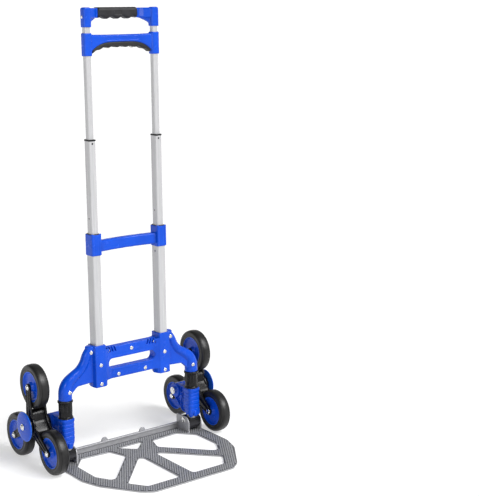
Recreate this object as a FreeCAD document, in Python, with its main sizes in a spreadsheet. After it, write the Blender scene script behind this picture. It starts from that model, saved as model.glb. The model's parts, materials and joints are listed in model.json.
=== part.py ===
import FreeCAD, Part
import math
import os
from collections import namedtuple

import Sketcher
from FreeCAD import Placement, Rotation, Vector

# Stair climbing trolley: a fold-up toe plate, a two-stage telescopic mast with a squeeze-to-release
# handle, and a cluster of three wheels on each side.
# X is across the trolley, Y is to the rear, Z is up, and the floor is Z = 0.
# Each sub-part is drawn about the plane of the mast (Y = 0) and placed mast_y behind the origin,
# so that the origin is at the middle of the trolley's footprint.

SIZES = {
    "mast_y": 37.445,
    # mast tubes: centre distance from the middle, size across, size front to back, wall
    "mast_x": 85.5,
    "outer_w": 20.2, "outer_d": 26.8, "outer_wall": 1.5, "outer_low": 184.0, "outer_top": 509.0,
    "mid_w": 16.8, "mid_d": 20.8, "mid_wall": 1.3, "mid_low": 425.0, "mid_top": 718.0,
    "inner_w": 13.8, "inner_d": 13.6, "inner_wall": 1.2, "inner_low": 650.0, "inner_top": 994.0,
    "tube_corner": 3.0, "guide_gap": 0.1, "latch_r": 2.3, "mid_latch_z": 455.0, "inner_latch_z": 664.0,
    "collar_high": 5.5, "collar_peg_rad": 2.1,
    # clamp across the tops of the outer tubes
    "clamp_low": 467.0, "clamp_top": 516.0, "clamp_w": 25.0, "clamp_d": 31.0,
    "bar_low": 472.0, "bar_top": 499.0, "bar_front": 7.5, "bar_thick": 16.0, "bar_bow": 7.0,
    "clamp_screw_z": 490.0,
    # handles
    "ear_w": 20.0, "ear_d": 18.0, "handle_top": 1000.0, "handle_low": 958.5,
    "release_top": 946.5, "release_low": 898.0, "release_gap": 12.0, "pin_z": 923.0, "pin_rad": 2.0,
    "grip_half": 50.0, "grip_low": 975.0, "rivet_z": 980.0, "grip_screw_x": 30.0, "grip_screw_y": 6.0,
    # base moulding
    "beam_top": 254.0, "beam_low": 180.0, "beam_d": 9.0, "socket_top": 264.5, "socket_low": 168.0,
    "socket_half": 13.5, "socket_d": 16.5, "slot_half": 62.0, "slot_z": 215.5, "slot_rad": 11.5,
    "shell_screw_rad": 1.8, "screw_head_rad": 3.6, "screw_head_h": 2.0, "screw_fit": 0.05,
    "socket_screw_z": 219.0, "elbow_screw_x": 166.1, "elbow_screw_z": 171.4,
    # posts under the arms
    "post_x": 170.5, "post_rad": 12.5, "post_wall": 2.0, "post_low": 38.5, "post_top": 177.0,
    "elbow_rad": 15.5, "elbow_low": 152.0, "elbow_top": 186.0, "sleeve_low": 111.0, "sleeve_rad": 15.2,
    "bracket_low": 38.5, "bracket_w": 32.0, "bracket_d": 31.0, "bracket_foot_rad": 14.8, "bracket_step": 56.0,
    "foot_in": 155.0, "foot_out": 186.0, "foot_round": 25.5,
    # toe plate and its hinge
    "plate_half": 195.5, "plate_front": 250.5, "plate_rear": 38.0, "plate_thick": 4.5,
    "hinge_y": 8.0, "hinge_z": 31.5, "hinge_rad": 4.0, "ear_thick": 3.0, "ear_in": 151.5,
    "ear_top": 40.5, "flange_top": 19.0, "tab_x": 52.0, "tab_rad": 9.0,
    # wheel clusters
    "axle_y": 49.4, "axle_z": 94.0, "arm_long": 88.0, "wheel_rad": 50.0, "wheel_w": 25.0,
    "wheel_x": 218.0, "rim_rad": 34.0, "axle_rad": 5.0, "wheel_bolt_rad": 4.0, "running_gap": 0.05,
    "hub_in": 190.0, "hub_out": 246.0, "hub_rad": 17.0, "cap_rad": 33.5, "leg_thick": 4.5,
}

doc = FreeCAD.newDocument("StairTrolley")
sheet = doc.addObject("Spreadsheet::Sheet", "Dims")
for row, (alias, size) in enumerate(SIZES.items(), start=1):
    sheet.set(f"A{row}", alias)
    sheet.set(f"B{row}", str(size))
    sheet.setAlias(f"B{row}", alias)
doc.recompute()


class Dim:
    """A size with its number and the sheet expression that it comes from."""

    def __init__(self, number, text):
        self.number = number
        self.text = text

    def __add__(self, other):
        return Dim(self.number + number(other), f"({self.text} + {text(other)})")

    def __sub__(self, other):
        return Dim(self.number - number(other), f"({self.text} - {text(other)})")

    def __mul__(self, other):
        return Dim(self.number * number(other), f"({self.text} * {text(other)})")

    def __truediv__(self, other):
        return Dim(self.number / number(other), f"({self.text} / {text(other)})")

    def __neg__(self):
        return Dim(-self.number, f"(-1 * {self.text})")

    def __radd__(self, other):
        return Dim(other + self.number, f"({text(other)} + {self.text})")

    def __rsub__(self, other):
        return Dim(other - self.number, f"({text(other)} - {self.text})")

    def __rmul__(self, other):
        return Dim(other * self.number, f"({text(other)} * {self.text})")


def number(size):
    return size.number if isinstance(size, Dim) else float(size)


def text(size):
    return size.text if isinstance(size, Dim) else f"({float(size):.6f})"


def bind(thing, prop, size):
    """Bind a property of a document object to a size from the sheet."""
    thing.setExpression(prop, text(size))


D = namedtuple("Sizes", SIZES.keys())(*[Dim(size, f"Dims.{alias}") for alias, size in SIZES.items()])
Ring = namedtuple("Ring", "u v radius")
LEFT, RIGHT = -1, 1
SIDES = (("l", LEFT), ("r", RIGHT))
FRONT, REAR = -1, 1

nodes = []


def finish_node(thing, label, y=D.mast_y, x=0.0, z=0.0):
    """Give a sub-part its node name and its place behind the origin."""
    thing.Label = label
    bind(thing, "Placement.Base.x", x)
    bind(thing, "Placement.Base.y", y)
    bind(thing, "Placement.Base.z", z)
    nodes.append(thing)
    return thing


def new_body(name):
    return doc.addObject("PartDesign::Body", "Body_" + name)


def fixed_point(constraints, bindings, geometry, point, u, v):
    for kind, size in (("DistanceX", u), ("DistanceY", v)):
        constraints.append(Sketcher.Constraint(kind, -1, 1, geometry, point, number(size)))
        if isinstance(size, Dim):
            bindings.append((len(constraints) - 1, size))


def sketch_on(body, plane, loops, offset):
    """Draw closed loops, each a list of corners or a Ring, on a plane of the body's own origin."""
    sketch = body.newObject("Sketcher::SketchObject", "Sketch")
    origin_plane = [item for item in body.Origin.OriginFeatures if item.Role == plane][0]
    sketch.AttachmentSupport = [(origin_plane, "")]
    sketch.MapMode = "FlatFace"
    bind(sketch, "AttachmentOffset.Base.z", offset)
    constraints = []
    bindings = []
    for loop in loops:
        first = sketch.GeometryCount
        if isinstance(loop, Ring):
            centre = Vector(number(loop.u), number(loop.v), 0)
            sketch.addGeometry(Part.Circle(centre, Vector(0, 0, 1), number(loop.radius)))
            fixed_point(constraints, bindings, first, 3, loop.u, loop.v)
            constraints.append(Sketcher.Constraint("Radius", first, number(loop.radius)))
            if isinstance(loop.radius, Dim):
                bindings.append((len(constraints) - 1, loop.radius))
            continue
        corners = [Vector(number(u), number(v), 0) for u, v in loop]
        count = len(corners)
        sketch.addGeometry([Part.LineSegment(corners[i], corners[(i + 1) % count]) for i in range(count)])
        for i, (u, v) in enumerate(loop):
            constraints.append(Sketcher.Constraint("Coincident", first + i, 2, first + (i + 1) % count, 1))
            fixed_point(constraints, bindings, first + i, 1, u, v)
    sketch.addConstraint(constraints)
    for index, size in bindings:
        sketch.setExpression(f"Constraints[{index}]", size.text)
    return sketch


def check(thing):
    """Stop where an object of the document did not compute."""
    if "Invalid" in thing.State or "Error" in thing.State:
        raise RuntimeError(f"{thing.Name} did not compute: {thing.State}")


def ordered(start, end):
    return (start, end) if number(start) <= number(end) else (end, start)


def add(body, plane, loops, start, end):
    """Pad loops between two positions along the plane's axis (X, Y or Z)."""
    low, high = ordered(start, end)
    offset = -high if plane == "XZ_Plane" else low
    pad = body.newObject("PartDesign::Pad", "Pad")
    pad.Profile = sketch_on(body, plane, loops, offset)
    bind(pad, "Length", high - low)
    doc.recompute()
    check(pad)
    return pad


def cut(body, plane, loops, start, end):
    """Pocket loops between two positions along the plane's axis, and see that material went."""
    low, high = ordered(start, end)
    offset = -low if plane == "XZ_Plane" else high
    before = body.Shape.Volume
    pocket = body.newObject("PartDesign::Pocket", "Pocket")
    pocket.Profile = sketch_on(body, plane, loops, offset)
    bind(pocket, "Length", high - low)
    doc.recompute()
    if body.Shape.Volume > before - 0.01:
        raise RuntimeError(f"a pocket of {body.Name} cuts nothing")
    check(pocket)
    return pocket


def turn(body, profile):
    """Revolve a profile of (X, radius) corners about the body's X axis."""
    revolution = body.newObject("PartDesign::Revolution", "Revolution")
    sketch = sketch_on(body, "XZ_Plane", [profile], 0.0)
    revolution.Profile = sketch
    revolution.ReferenceAxis = (sketch, ["H_Axis"])
    revolution.Angle = 360
    doc.recompute()
    return revolution


def round_edges(body, feature, radius, chosen):
    """Fillet the edges of a feature whose two ends satisfy chosen(point, point)."""
    names = []
    for i, edge in enumerate(feature.Shape.Edges, start=1):
        if len(edge.Vertexes) == 2 and chosen(edge.Vertexes[0].Point, edge.Vertexes[1].Point):
            names.append(f"Edge{i}")
    fillet = body.newObject("PartDesign::Fillet", "Fillet")
    fillet.Base = (feature, names)
    fillet.Radius = number(radius)
    if isinstance(radius, Dim):
        bind(fillet, "Radius", radius)
    doc.recompute()
    check(fillet)
    return fillet


def at_corners(first, second, corners):
    """Choose the edges along the third axis whose (first, second) place is one of the corners."""
    places = [(number(u), number(v)) for u, v in corners]

    def chosen(a, b):
        if math.hypot(a[first] - b[first], a[second] - b[second]) > 0.01:
            return False
        return any(math.hypot(a[first] - u, a[second] - v) < 0.05 for u, v in places)

    return chosen


def upright(a, b):
    return math.hypot(a.x - b.x, a.y - b.y) < 0.01


def box_loop(u0, u1, v0, v1):
    return [(u0, v0), (u1, v0), (u1, v1), (u0, v1)]


def mirrored(half):
    """Close an outline from its right half, listed from the middle line to the middle line."""
    other = [(-u, v) for u, v in reversed(half) if abs(number(u)) > 1e-6]
    return half + other


def group(label, parts):
    """One node that holds several identical separate solids."""
    compound = doc.addObject("Part::Compound", "Group_" + label)
    compound.Links = parts
    doc.recompute()
    return finish_node(compound, label)


def cylinder(radius, start, length, axis, place):
    """A Part cylinder: start is its place along the axis, and place its other two coordinates."""
    solid = doc.addObject("Part::Cylinder", "Cylinder")
    bind(solid, "Radius", radius)
    bind(solid, "Height", length)
    turns = {"X": Rotation(Vector(0, 1, 0), 90), "Y": Rotation(Vector(1, 0, 0), -90), "Z": Rotation()}
    solid.Placement = Placement(Vector(0, 0, 0), turns[axis])
    names = [name for name in "XYZ" if name != axis]
    bind(solid, f"Placement.Base.{axis.lower()}", start)
    for name, size in zip(names, place):
        bind(solid, f"Placement.Base.{name.lower()}", size)
    return solid


def headed(shank_rad, head_rad, axis, place, shank_start, shank_end, head_high):
    """A screw or bolt along an axis, its head beyond shank_end on the side away from shank_start."""
    low, high = ordered(shank_start, shank_end)
    outward = number(shank_end) > number(shank_start)
    head_start = shank_end if outward else shank_end - head_high
    screw = doc.addObject("Part::MultiFuse", "Screw")
    shank = cylinder(shank_rad, low, high - low, axis, place)
    head = cylinder(head_rad, head_start, head_high, axis, place)
    screw.Shapes = [shank, head]
    return screw


# Mast tubes

def tube(label, x, width, depth, wall, low, high):
    """A straight tube with rounded corners, its bore cut through."""
    body = new_body(label)
    pad = add(body, "XY_Plane", [box_loop(x - width / 2, x + width / 2, -depth / 2, depth / 2)], low, high)
    round_edges(body, pad, D.tube_corner, upright)
    bore_w = width / 2 - wall
    bore_d = depth / 2 - wall
    bore = box_loop(x - bore_w, x + bore_w, -bore_d, bore_d)
    pocket = cut(body, "XY_Plane", [bore], low, high)
    round_edges(body, pocket, 1.5, at_corners(0, 1, bore))
    return body


def plug(label, width, depth, wall, low, stem, flange, latch_axis, latch_z):
    """The two guide plugs on a stage's lower tube ends: a flange below the tube and a stem in it."""
    plugs = []
    for _, side in SIDES:
        x = D.mast_x * side
        body = new_body(label)
        flange_w, flange_d = flange
        flange_loop = box_loop(x - flange_w, x + flange_w, -flange_d, flange_d)
        base = add(body, "XY_Plane", [flange_loop], low - 8, low)
        round_edges(body, base, 2.0, upright)
        stem_w = width / 2 - wall - D.guide_gap
        stem_d = depth / 2 - wall - D.guide_gap
        stem_loop = box_loop(x - stem_w, x + stem_w, -stem_d, stem_d)
        pad = add(body, "XY_Plane", [stem_loop], low, low + stem)
        round_edges(body, pad, 2.0, at_corners(0, 1, stem_loop))
        hole = Ring(0.0, latch_z, D.latch_r + 0.1)
        if latch_axis == "X":
            inner_face = (D.mast_x - width / 2) * side
            cut(body, "YZ_Plane", [hole], inner_face, inner_face + 9 * side)
        else:
            hole = Ring(x, latch_z, D.latch_r + 0.1)
            cut(body, "XZ_Plane", [hole], 0.0, depth / 2)
        plugs.append(body)
    return group(label, plugs)


def build_outer_tubes():
    for name, side in SIDES:
        x = D.mast_x * side
        body = tube("outer_tube_" + name, x, D.outer_w, D.outer_d, D.outer_wall, D.outer_low, D.outer_top)
        screw_rad = D.shell_screw_rad + D.screw_fit
        cut(body, "XZ_Plane", [Ring(x, D.socket_screw_z, screw_rad)], -D.outer_d / 2, -D.outer_d / 4)
        cut(body, "XZ_Plane", [Ring(x, D.clamp_screw_z, screw_rad)], D.outer_d / 4, D.outer_d / 2)
        face = (D.mast_x - D.outer_w / 2) * side
        cut(body, "YZ_Plane", [Ring(0.0, D.mid_latch_z, D.latch_r + 0.2)], face, face + 5 * side)
        finish_node(body, "outer_tube_" + name)


def build_mid_tubes():
    for name, side in SIDES:
        x = D.mast_x * side
        body = tube("mid_tube_" + name, x, D.mid_w, D.mid_d, D.mid_wall, D.mid_low, D.mid_top)
        face = (D.mast_x - D.mid_w / 2) * side
        cut(body, "YZ_Plane", [Ring(0.0, D.mid_latch_z, D.latch_r + 0.1)], face, face + 5 * side)
        cut(body, "XZ_Plane", [Ring(x, D.inner_latch_z, D.latch_r + 0.2)], D.mid_d / 4, D.mid_d / 2)
        peg_hole = Ring(x, D.mid_top - D.collar_high, D.collar_peg_rad + 0.05)
        cut(body, "XZ_Plane", [peg_hole], -D.mid_d / 2, -D.mid_d / 4)
        finish_node(body, "mid_tube_" + name)
    flange = (D.outer_w / 2 - D.outer_wall - D.guide_gap, D.outer_d / 2 - D.outer_wall - D.guide_gap)
    plug("mid_plugs", D.mid_w, D.mid_d, D.mid_wall, D.mid_low, 38.0, flange, "X", D.mid_latch_z)
    buttons = []
    for _, side in SIDES:
        face = (D.mast_x - D.mid_w / 2) * side
        low, high = ordered(face, face + 6 * side)
        buttons.append(cylinder(D.latch_r, low, high - low, "X", (0.0, D.mid_latch_z)))
    group("mid_latch_buttons", buttons)


def build_inner_tubes():
    for name, side in SIDES:
        x = D.mast_x * side
        body = tube("inner_tube_" + name, x, D.inner_w, D.inner_d, D.inner_wall, D.inner_low, D.inner_top)
        half = D.pin_rad + 0.1
        slot = box_loop(-half, half, D.pin_z - half, D.pin_z + D.release_gap + half)
        cut(body, "YZ_Plane", [slot], x - D.inner_w, x + D.inner_w)
        cut(body, "XZ_Plane", [Ring(x, D.inner_latch_z, D.latch_r + 0.1)], 0.0, D.inner_d)
        finish_node(body, "inner_tube_" + name)
    flange = (D.mid_w / 2 - D.mid_wall - D.guide_gap, D.mid_d / 2 - D.mid_wall - D.guide_gap)
    plug("inner_plugs", D.inner_w, D.inner_d, D.inner_wall, D.inner_low, 25.0, flange, "Y",
         D.inner_latch_z)
    buttons = [cylinder(D.latch_r, 1.0, D.inner_d / 2 - 1, "Y", (D.mast_x * side, D.inner_latch_z))
               for _, side in SIDES]
    group("inner_latch_buttons", buttons)


def build_guides():
    """Bushes in the tops of the outer tubes, and the black collars on the middle tubes."""
    bushes = []
    collars = []
    for _, side in SIDES:
        x = D.mast_x * side
        bush = new_body("clamp_bush")
        half_w, half_d = D.outer_w / 2, D.outer_d / 2
        ring = box_loop(x - half_w, x + half_w, -half_d, half_d)
        pad = add(bush, "XY_Plane", [ring], D.outer_top, D.clamp_top - 0.5)
        round_edges(bush, pad, D.tube_corner, upright)
        gap_w, gap_d = D.mid_w / 2 + D.guide_gap, D.mid_d / 2 + D.guide_gap
        for front in (-1, 1):
            skirt = box_loop(x - 6, x + 6, gap_d * front, (half_d - D.outer_wall) * front)
            add(bush, "XY_Plane", [skirt], D.outer_top - 14, D.outer_top)
        cut(bush, "XY_Plane", [box_loop(x - gap_w, x + gap_w, -gap_d, gap_d)], D.outer_top, D.clamp_top)
        bushes.append(bush)

        collar = new_body("mid_collar")
        cap_top = D.mid_top + D.collar_high
        cap = box_loop(x - 9.3, x + 9.3, -11.3, 11.3)
        pad = add(collar, "XY_Plane", [cap], D.mid_top, cap_top)
        round_edges(collar, pad, 3.5, upright)
        gap_w, gap_d = D.inner_w / 2 + D.guide_gap, D.inner_d / 2 + D.guide_gap
        for front in (-1, 1):
            skirt = box_loop(x - 5, x + 5, gap_d * front, (D.mid_d / 2 - D.mid_wall) * front)
            add(collar, "XY_Plane", [skirt], D.mid_top - 16, D.mid_top)
        peg = Ring(x, D.mid_top - D.collar_high, D.collar_peg_rad)
        add(collar, "XZ_Plane", [peg], -(D.mid_d / 2), -(D.mid_d / 2 - 2))
        cut(collar, "XY_Plane", [box_loop(x - gap_w, x + gap_w, -gap_d, gap_d)], D.mid_top, cap_top)
        collars.append(collar)
    group("clamp_bushes", bushes)
    group("mid_collars", collars)


# Clamp and handles

def build_clamp():
    body = new_body("mid_clamp")
    half_w, half_d = D.clamp_w / 2, D.clamp_d / 2
    ear_in = D.mast_x - half_w
    front, rear = -D.bar_front, D.bar_thick - D.bar_front
    bar = mirrored([(0.0, front + D.bar_bow), (40.0, front + D.bar_bow * 0.6), (ear_in + 2, front),
                    (ear_in + 2, rear), (40.0, rear + D.bar_bow * 0.6), (0.0, rear + D.bar_bow)])
    for _, side in SIDES:
        x = D.mast_x * side
        loop = box_loop(x - half_w, x + half_w, -half_d, half_d)
        pad = add(body, "XY_Plane", [loop], D.clamp_low, D.clamp_top)
        round_edges(body, pad, 4.0, at_corners(0, 1, loop))
    add(body, "XY_Plane", [bar], D.bar_low, D.bar_top)
    gap_w, gap_d = D.outer_w / 2 + 0.05, D.outer_d / 2 + 0.05
    for _, side in SIDES:
        x = D.mast_x * side
        bore = box_loop(x - gap_w, x + gap_w, -gap_d, gap_d)
        pocket = cut(body, "XY_Plane", [bore], D.clamp_low, D.clamp_top)
        round_edges(body, pocket, 2.5, at_corners(0, 1, bore))
        screw_hole = Ring(x, D.clamp_screw_z, D.shell_screw_rad + D.screw_fit)
        cut(body, "XZ_Plane", [screw_hole], D.outer_d / 2 - 1, half_d)
    finish_node(body, "mid_clamp")
    screws = [headed(D.shell_screw_rad, D.screw_head_rad, "Y", (D.mast_x * side, D.clamp_screw_z),
                     D.outer_d / 2 - D.outer_wall, half_d, D.screw_head_h) for _, side in SIDES]
    group("clamp_screws", screws)


def handle_column(body, side, low, high):
    """One upright ear of a handle round its mast tube, its corners well rounded."""
    half_w, half_d = D.ear_w / 2, D.ear_d / 2
    x = D.mast_x * side
    loop = box_loop(x - half_w, x + half_w, -half_d, half_d)
    pad = add(body, "XY_Plane", [loop], low, high)
    return round_edges(body, pad, 5.0, at_corners(0, 1, loop))


def build_release_handle():
    body = new_body("release_handle")
    front, rear = -5.0, 13.0
    ear_in = D.mast_x - D.ear_w / 2
    arch = mirrored([(0.0, D.release_top - 4.5), (ear_in + 2, D.release_top - 4.5),
                     (ear_in + 2, D.release_low + 2), (ear_in - 1, D.release_low + 3),
                     (55.0, 916.0), (22.0, 926.0)])
    for _, side in SIDES:
        handle_column(body, side, D.release_low, D.release_top)
    add(body, "XZ_Plane", [arch], front, rear)
    gap_w, gap_d = D.inner_w / 2 + D.guide_gap, D.inner_d / 2 + D.guide_gap
    for _, side in SIDES:
        x = D.mast_x * side
        bore = box_loop(x - gap_w, x + gap_w, -gap_d, gap_d)
        cut(body, "XY_Plane", [bore], D.release_low, D.release_top)
        reach = (D.inner_w / 2 + 2) * side
        cut(body, "YZ_Plane", [Ring(0.0, D.pin_z, D.pin_rad + 0.02)], x - reach, x + reach)
        cut(body, "XZ_Plane", [Ring(38.0 * side, 921.0, 6.0)], 0.0, 8.0)
    finish_node(body, "release_handle")

    grip = new_body("release_grip")
    outline = mirrored([(0.0, 926.0), (22.0, 926.0), (55.0, 916.0), (60.0, 912.1), (59.0, 906.5),
                        (45.0, 911.0), (30.0, 914.0), (15.0, 915.5), (0.0, 916.5)])
    add(grip, "XZ_Plane", [outline], -6.0, 18.0)
    for _, side in SIDES:
        x, y = D.grip_screw_x * side, D.grip_screw_y
        cut(grip, "XY_Plane", [Ring(x, y, D.screw_head_rad)], 910.0, 914.0)
        cut(grip, "XY_Plane", [Ring(x, y, D.shell_screw_rad + D.screw_fit)], 912.0, 920.0)
    finish_node(grip, "release_grip")
    screws = [headed(D.shell_screw_rad, D.screw_head_rad - 0.1, "Z",
                     (D.grip_screw_x * side, D.grip_screw_y), 920.0, 914.0, D.screw_head_h)
              for _, side in SIDES]
    group("release_grip_screws", screws)


def build_top_handle():
    body = new_body("top_handle")
    bar_low, bar_top = D.grip_low + 1.5, D.handle_top - 1.5
    bar = mirrored([(0.0, 9.0), (56.0, 9.0), (74.0, -4.0), (93.5, -4.0), (93.5, 8.0), (80.0, 28.0),
                    (60.0, 30.0), (0.0, 30.0)])
    for _, side in SIDES:
        handle_column(body, side, D.handle_low, D.handle_top)
    add(body, "XY_Plane", [bar], bar_low, bar_top)
    for _, side in SIDES:
        web = [(76.5 * side, bar_low + 1), (57.0 * side, bar_low + 1), (66.0 * side, 972.0),
               (76.5 * side, 959.5)]
        add(body, "XZ_Plane", [web], -4.0, 8.0)
    for _, side in SIDES:
        x = D.mast_x * side
        gap_w, gap_d = D.inner_w / 2 + 0.05, D.inner_d / 2 + 0.05
        bore = box_loop(x - gap_w, x + gap_w, -gap_d, gap_d)
        cut(body, "XY_Plane", [bore], D.handle_low, D.inner_top)
        rivet_in = x + (D.inner_w / 2) * side
        cut(body, "YZ_Plane", [Ring(0.0, D.rivet_z, 2.0)], rivet_in, x + D.ear_w / 2 * side)
    finish_node(body, "top_handle")

    grip = new_body("top_grip")
    shape = box_loop(-D.grip_half, D.grip_half, D.grip_low, D.handle_top)
    pad = add(grip, "XZ_Plane", [shape], 6.5, 32.5)
    round_edges(grip, pad, 4.0, lambda a, b: abs(a.x - b.x) > 50)
    cut(grip, "YZ_Plane", [box_loop(9.0, 30.0, bar_low, bar_top)], -D.grip_half, D.grip_half)
    finish_node(grip, "top_grip")
    rivets = [headed(2.0, 3.2, "X", (0.0, D.rivet_z), (D.mast_x + D.inner_w / 2) * side,
                     (D.mast_x + D.ear_w / 2) * side, 1.2) for _, side in SIDES]
    group("top_handle_rivets", rivets)


def build_release_rods():
    rods = []
    pins = []
    for _, side in SIDES:
        x = D.mast_x * side
        rod = new_body("release_rod")
        low, high = D.inner_low + 30, D.pin_z + 6
        add(rod, "XY_Plane", [Ring(x, 0.0, 3.5)], low, high)
        cut(rod, "YZ_Plane", [Ring(0.0, D.pin_z, D.pin_rad + 0.02)], x - 5, x + 5)
        rods.append(rod)
        reach = D.inner_w / 2 + 2
        pins.append(cylinder(D.pin_rad, x - reach, reach * 2, "X", (0.0, D.pin_z)))
    group("release_rods", rods)
    group("release_pins", pins)


# Base moulding: two shells that meet at Y = 0

def shell_screws():
    """The (x, z, front) place of every screw that joins the two shells."""
    half = [(106.0, 250.5, D.beam_d), (62.6, 247.0, D.beam_d), (35.7, 188.1, D.beam_d),
            (D.mast_x, 175.5, D.socket_d)]
    places = [(0.0, 242.0, D.beam_d)]
    for x, z, front in half:
        places += [(x, z, front), (-x, z, front)]
    return places


def build_base_shell(label, face):
    """One half of the base, which spreads from Y = 0 towards its face, FRONT or REAR."""
    body = new_body(label)
    socket_in, socket_out = D.mast_x - D.socket_half, D.mast_x + D.socket_half
    elbow_out = D.post_x + D.elbow_rad
    elbow_in = D.post_x - D.elbow_rad
    outline = mirrored([
        (0.0, D.beam_top), (socket_in, D.beam_top), (socket_in, D.socket_top), (114.0, D.socket_top),
        (124.0, 233.0), (164.0, 204.0), (elbow_out, 178.0), (elbow_out, D.elbow_low),
        (elbow_in, D.elbow_low), (elbow_in, 163.0), (141.0, 178.0), (socket_out, D.beam_low),
        (socket_out, D.socket_low), (socket_in, D.socket_low), (socket_in, D.beam_low), (0.0, D.beam_low)])
    plate = add(body, "XZ_Plane", [outline], 0.0, D.beam_d * face)
    for radius, u, v in ((7.0, 114.0, D.socket_top), (25.0, 124.0, 233.0), (22.0, 164.0, 204.0),
                         (14.0, elbow_out, 178.0), (10.0, 141.0, 178.0)):
        plate = round_edges(body, plate, radius, at_corners(0, 2, [(u, v), (-u, v)]))
    for _, side in SIDES:
        x = D.mast_x * side
        socket = box_loop(x - D.socket_half, x + D.socket_half, 0.0, D.socket_d * face)
        pad = add(body, "XY_Plane", [socket], D.socket_low, D.socket_top)
        corners = [(x - D.socket_half, D.socket_d * face), (x + D.socket_half, D.socket_d * face)]
        round_edges(body, pad, 3.0, at_corners(0, 1, corners))
        add(body, "XY_Plane", [Ring(D.post_x * side, 0.0, D.elbow_rad)], D.elbow_low, D.elbow_top)
    slot = box_loop(-D.slot_half, D.slot_half, D.slot_z - D.slot_rad, D.slot_z + D.slot_rad)
    pocket = cut(body, "XZ_Plane", [slot], 0.0, D.beam_d * face)
    round_edges(body, pocket, D.slot_rad - 0.3, at_corners(0, 2, slot))
    for _, side in SIDES:
        x = D.mast_x * side
        half_w, half_d = D.outer_w / 2 + 0.05, D.outer_d / 2 + 0.05
        cut(body, "XY_Plane", [box_loop(x - half_w, x + half_w, 0.0, half_d * face)],
            D.outer_low, D.socket_top)
        cut(body, "XY_Plane", [Ring(D.post_x * side, 0.0, D.post_rad + 0.05)], D.elbow_low, D.post_top)
        other_half = box_loop(D.post_x * side - D.elbow_rad - 1, D.post_x * side + D.elbow_rad + 1,
                              0.0, -1 * D.elbow_rad * face - face)
        cut(body, "XY_Plane", [other_half], D.elbow_low, D.elbow_top)
    screw_rad = D.shell_screw_rad + D.screw_fit
    for x, z, _ in shell_screws():
        cut(body, "XZ_Plane", [Ring(x, z, screw_rad)], 0.0, D.socket_d * face)
    if face == FRONT:
        for _, side in SIDES:
            elbow_hole = Ring(D.elbow_screw_x * side, D.elbow_screw_z, screw_rad)
            cut(body, "XZ_Plane", [elbow_hole], -D.elbow_rad, -10.0)
            socket_hole = Ring(D.mast_x * side, D.socket_screw_z, screw_rad)
            cut(body, "XZ_Plane", [socket_hole], -D.socket_d, -D.outer_d / 2)
            for i in range(4):
                u = (44.0 + 7 * i) * side
                lean = 4.0 * side
                notch = [(u, 243.0), (u + 3, 243.0), (u + 3 + lean, 256.0), (u + lean, 256.0)]
                cut(body, "XZ_Plane", [notch], -D.beam_d, -4.0)
    finish_node(body, label)


def build_base_screws():
    screws = []
    for x, z, front in shell_screws():
        screws.append(headed(D.shell_screw_rad, D.screw_head_rad, "Y", (x, z), 6.0, -front, D.screw_head_h))
    for _, side in SIDES:
        socket_place = (D.mast_x * side, D.socket_screw_z)
        screws.append(headed(D.shell_screw_rad, D.screw_head_rad, "Y", socket_place, -12.0, -D.socket_d,
                             D.screw_head_h))
        elbow_place = (D.elbow_screw_x * side, D.elbow_screw_z)
        screws.append(headed(D.shell_screw_rad, D.screw_head_rad, "Y", elbow_place, -10.5, -D.elbow_rad,
                             D.screw_head_h))
    group("base_screws", screws)


# Posts, sleeves, brackets and feet

def build_post(name, side):
    x = D.post_x * side
    post = new_body("post")
    add(post, "XY_Plane", [Ring(x, 0.0, D.post_rad)], D.post_low, D.post_top - 1)
    cut(post, "XY_Plane", [Ring(x, 0.0, D.post_rad - D.post_wall)], D.post_low, D.post_top - 1)
    elbow_hole = Ring(D.elbow_screw_x * side, D.elbow_screw_z, D.shell_screw_rad + D.screw_fit)
    cut(post, "XZ_Plane", [elbow_hole], -D.post_rad, -5.0)
    finish_node(post, "post_" + name)

    sleeve = new_body("sleeve")
    add(sleeve, "XY_Plane", [Ring(x, 0.0, D.sleeve_rad)], D.sleeve_low, D.elbow_low)
    add(sleeve, "XY_Plane", [Ring(x, 0.0, 17.3)], D.elbow_low - 4.5, D.elbow_low)
    add(sleeve, "XY_Plane", [Ring(x, 0.0, 16.6)], D.sleeve_low, D.sleeve_low + 4)
    cut(sleeve, "XY_Plane", [Ring(x, 0.0, D.post_rad + 0.05)], D.sleeve_low, D.elbow_low)
    finish_node(sleeve, "sleeve_" + name)


def build_bracket(name, side):
    """The bracket clamps on the post and carries the cluster axle on a web behind it."""
    x = D.post_x * side
    body = new_body("bracket")
    add(body, "XY_Plane", [Ring(x, 0.0, D.bracket_foot_rad)], D.bracket_low, D.bracket_step)
    half_w, half_d = D.bracket_w / 2, D.bracket_d / 2
    clamp = box_loop(x - half_w, x + half_w, -half_d, half_d)
    pad = add(body, "XY_Plane", [clamp], D.bracket_step, D.sleeve_low)
    round_edges(body, pad, 8.0, at_corners(0, 1, clamp))
    web_in, web_out = (D.post_x - 11) * side, (D.post_x + 11) * side
    web = [(0.0, 108.0), (0.0, 58.0), (12.0, 60.0), (D.axle_y + 8, D.axle_z - 14),
           (D.axle_y, D.axle_z + 16.5)]
    add(body, "YZ_Plane", [web], web_in, web_out)
    boss_in, boss_out = (D.post_x - 15) * side, (D.hub_in - 1) * side
    add(body, "YZ_Plane", [Ring(D.axle_y, D.axle_z, 17.0)], boss_in, boss_out)
    cut(body, "XY_Plane", [Ring(x, 0.0, D.post_rad + 0.05)], D.bracket_low, D.sleeve_low)
    cut(body, "YZ_Plane", [Ring(D.axle_y, D.axle_z, D.axle_rad + D.running_gap)], boss_in, boss_out)
    for face, depth in ((web_in, 8 * side), (web_out, -8 * side)):
        for z_low, z_high in ((67.0, 78.0), (81.0, 92.0), (95.0, 104.0)):
            pocket = [(17.5, z_low), (30.0, z_low + 2), (30.0, z_high), (17.5, z_high)]
            cut(body, "YZ_Plane", [pocket], face, face + depth)
    finish_node(body, "bracket_" + name)


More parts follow.
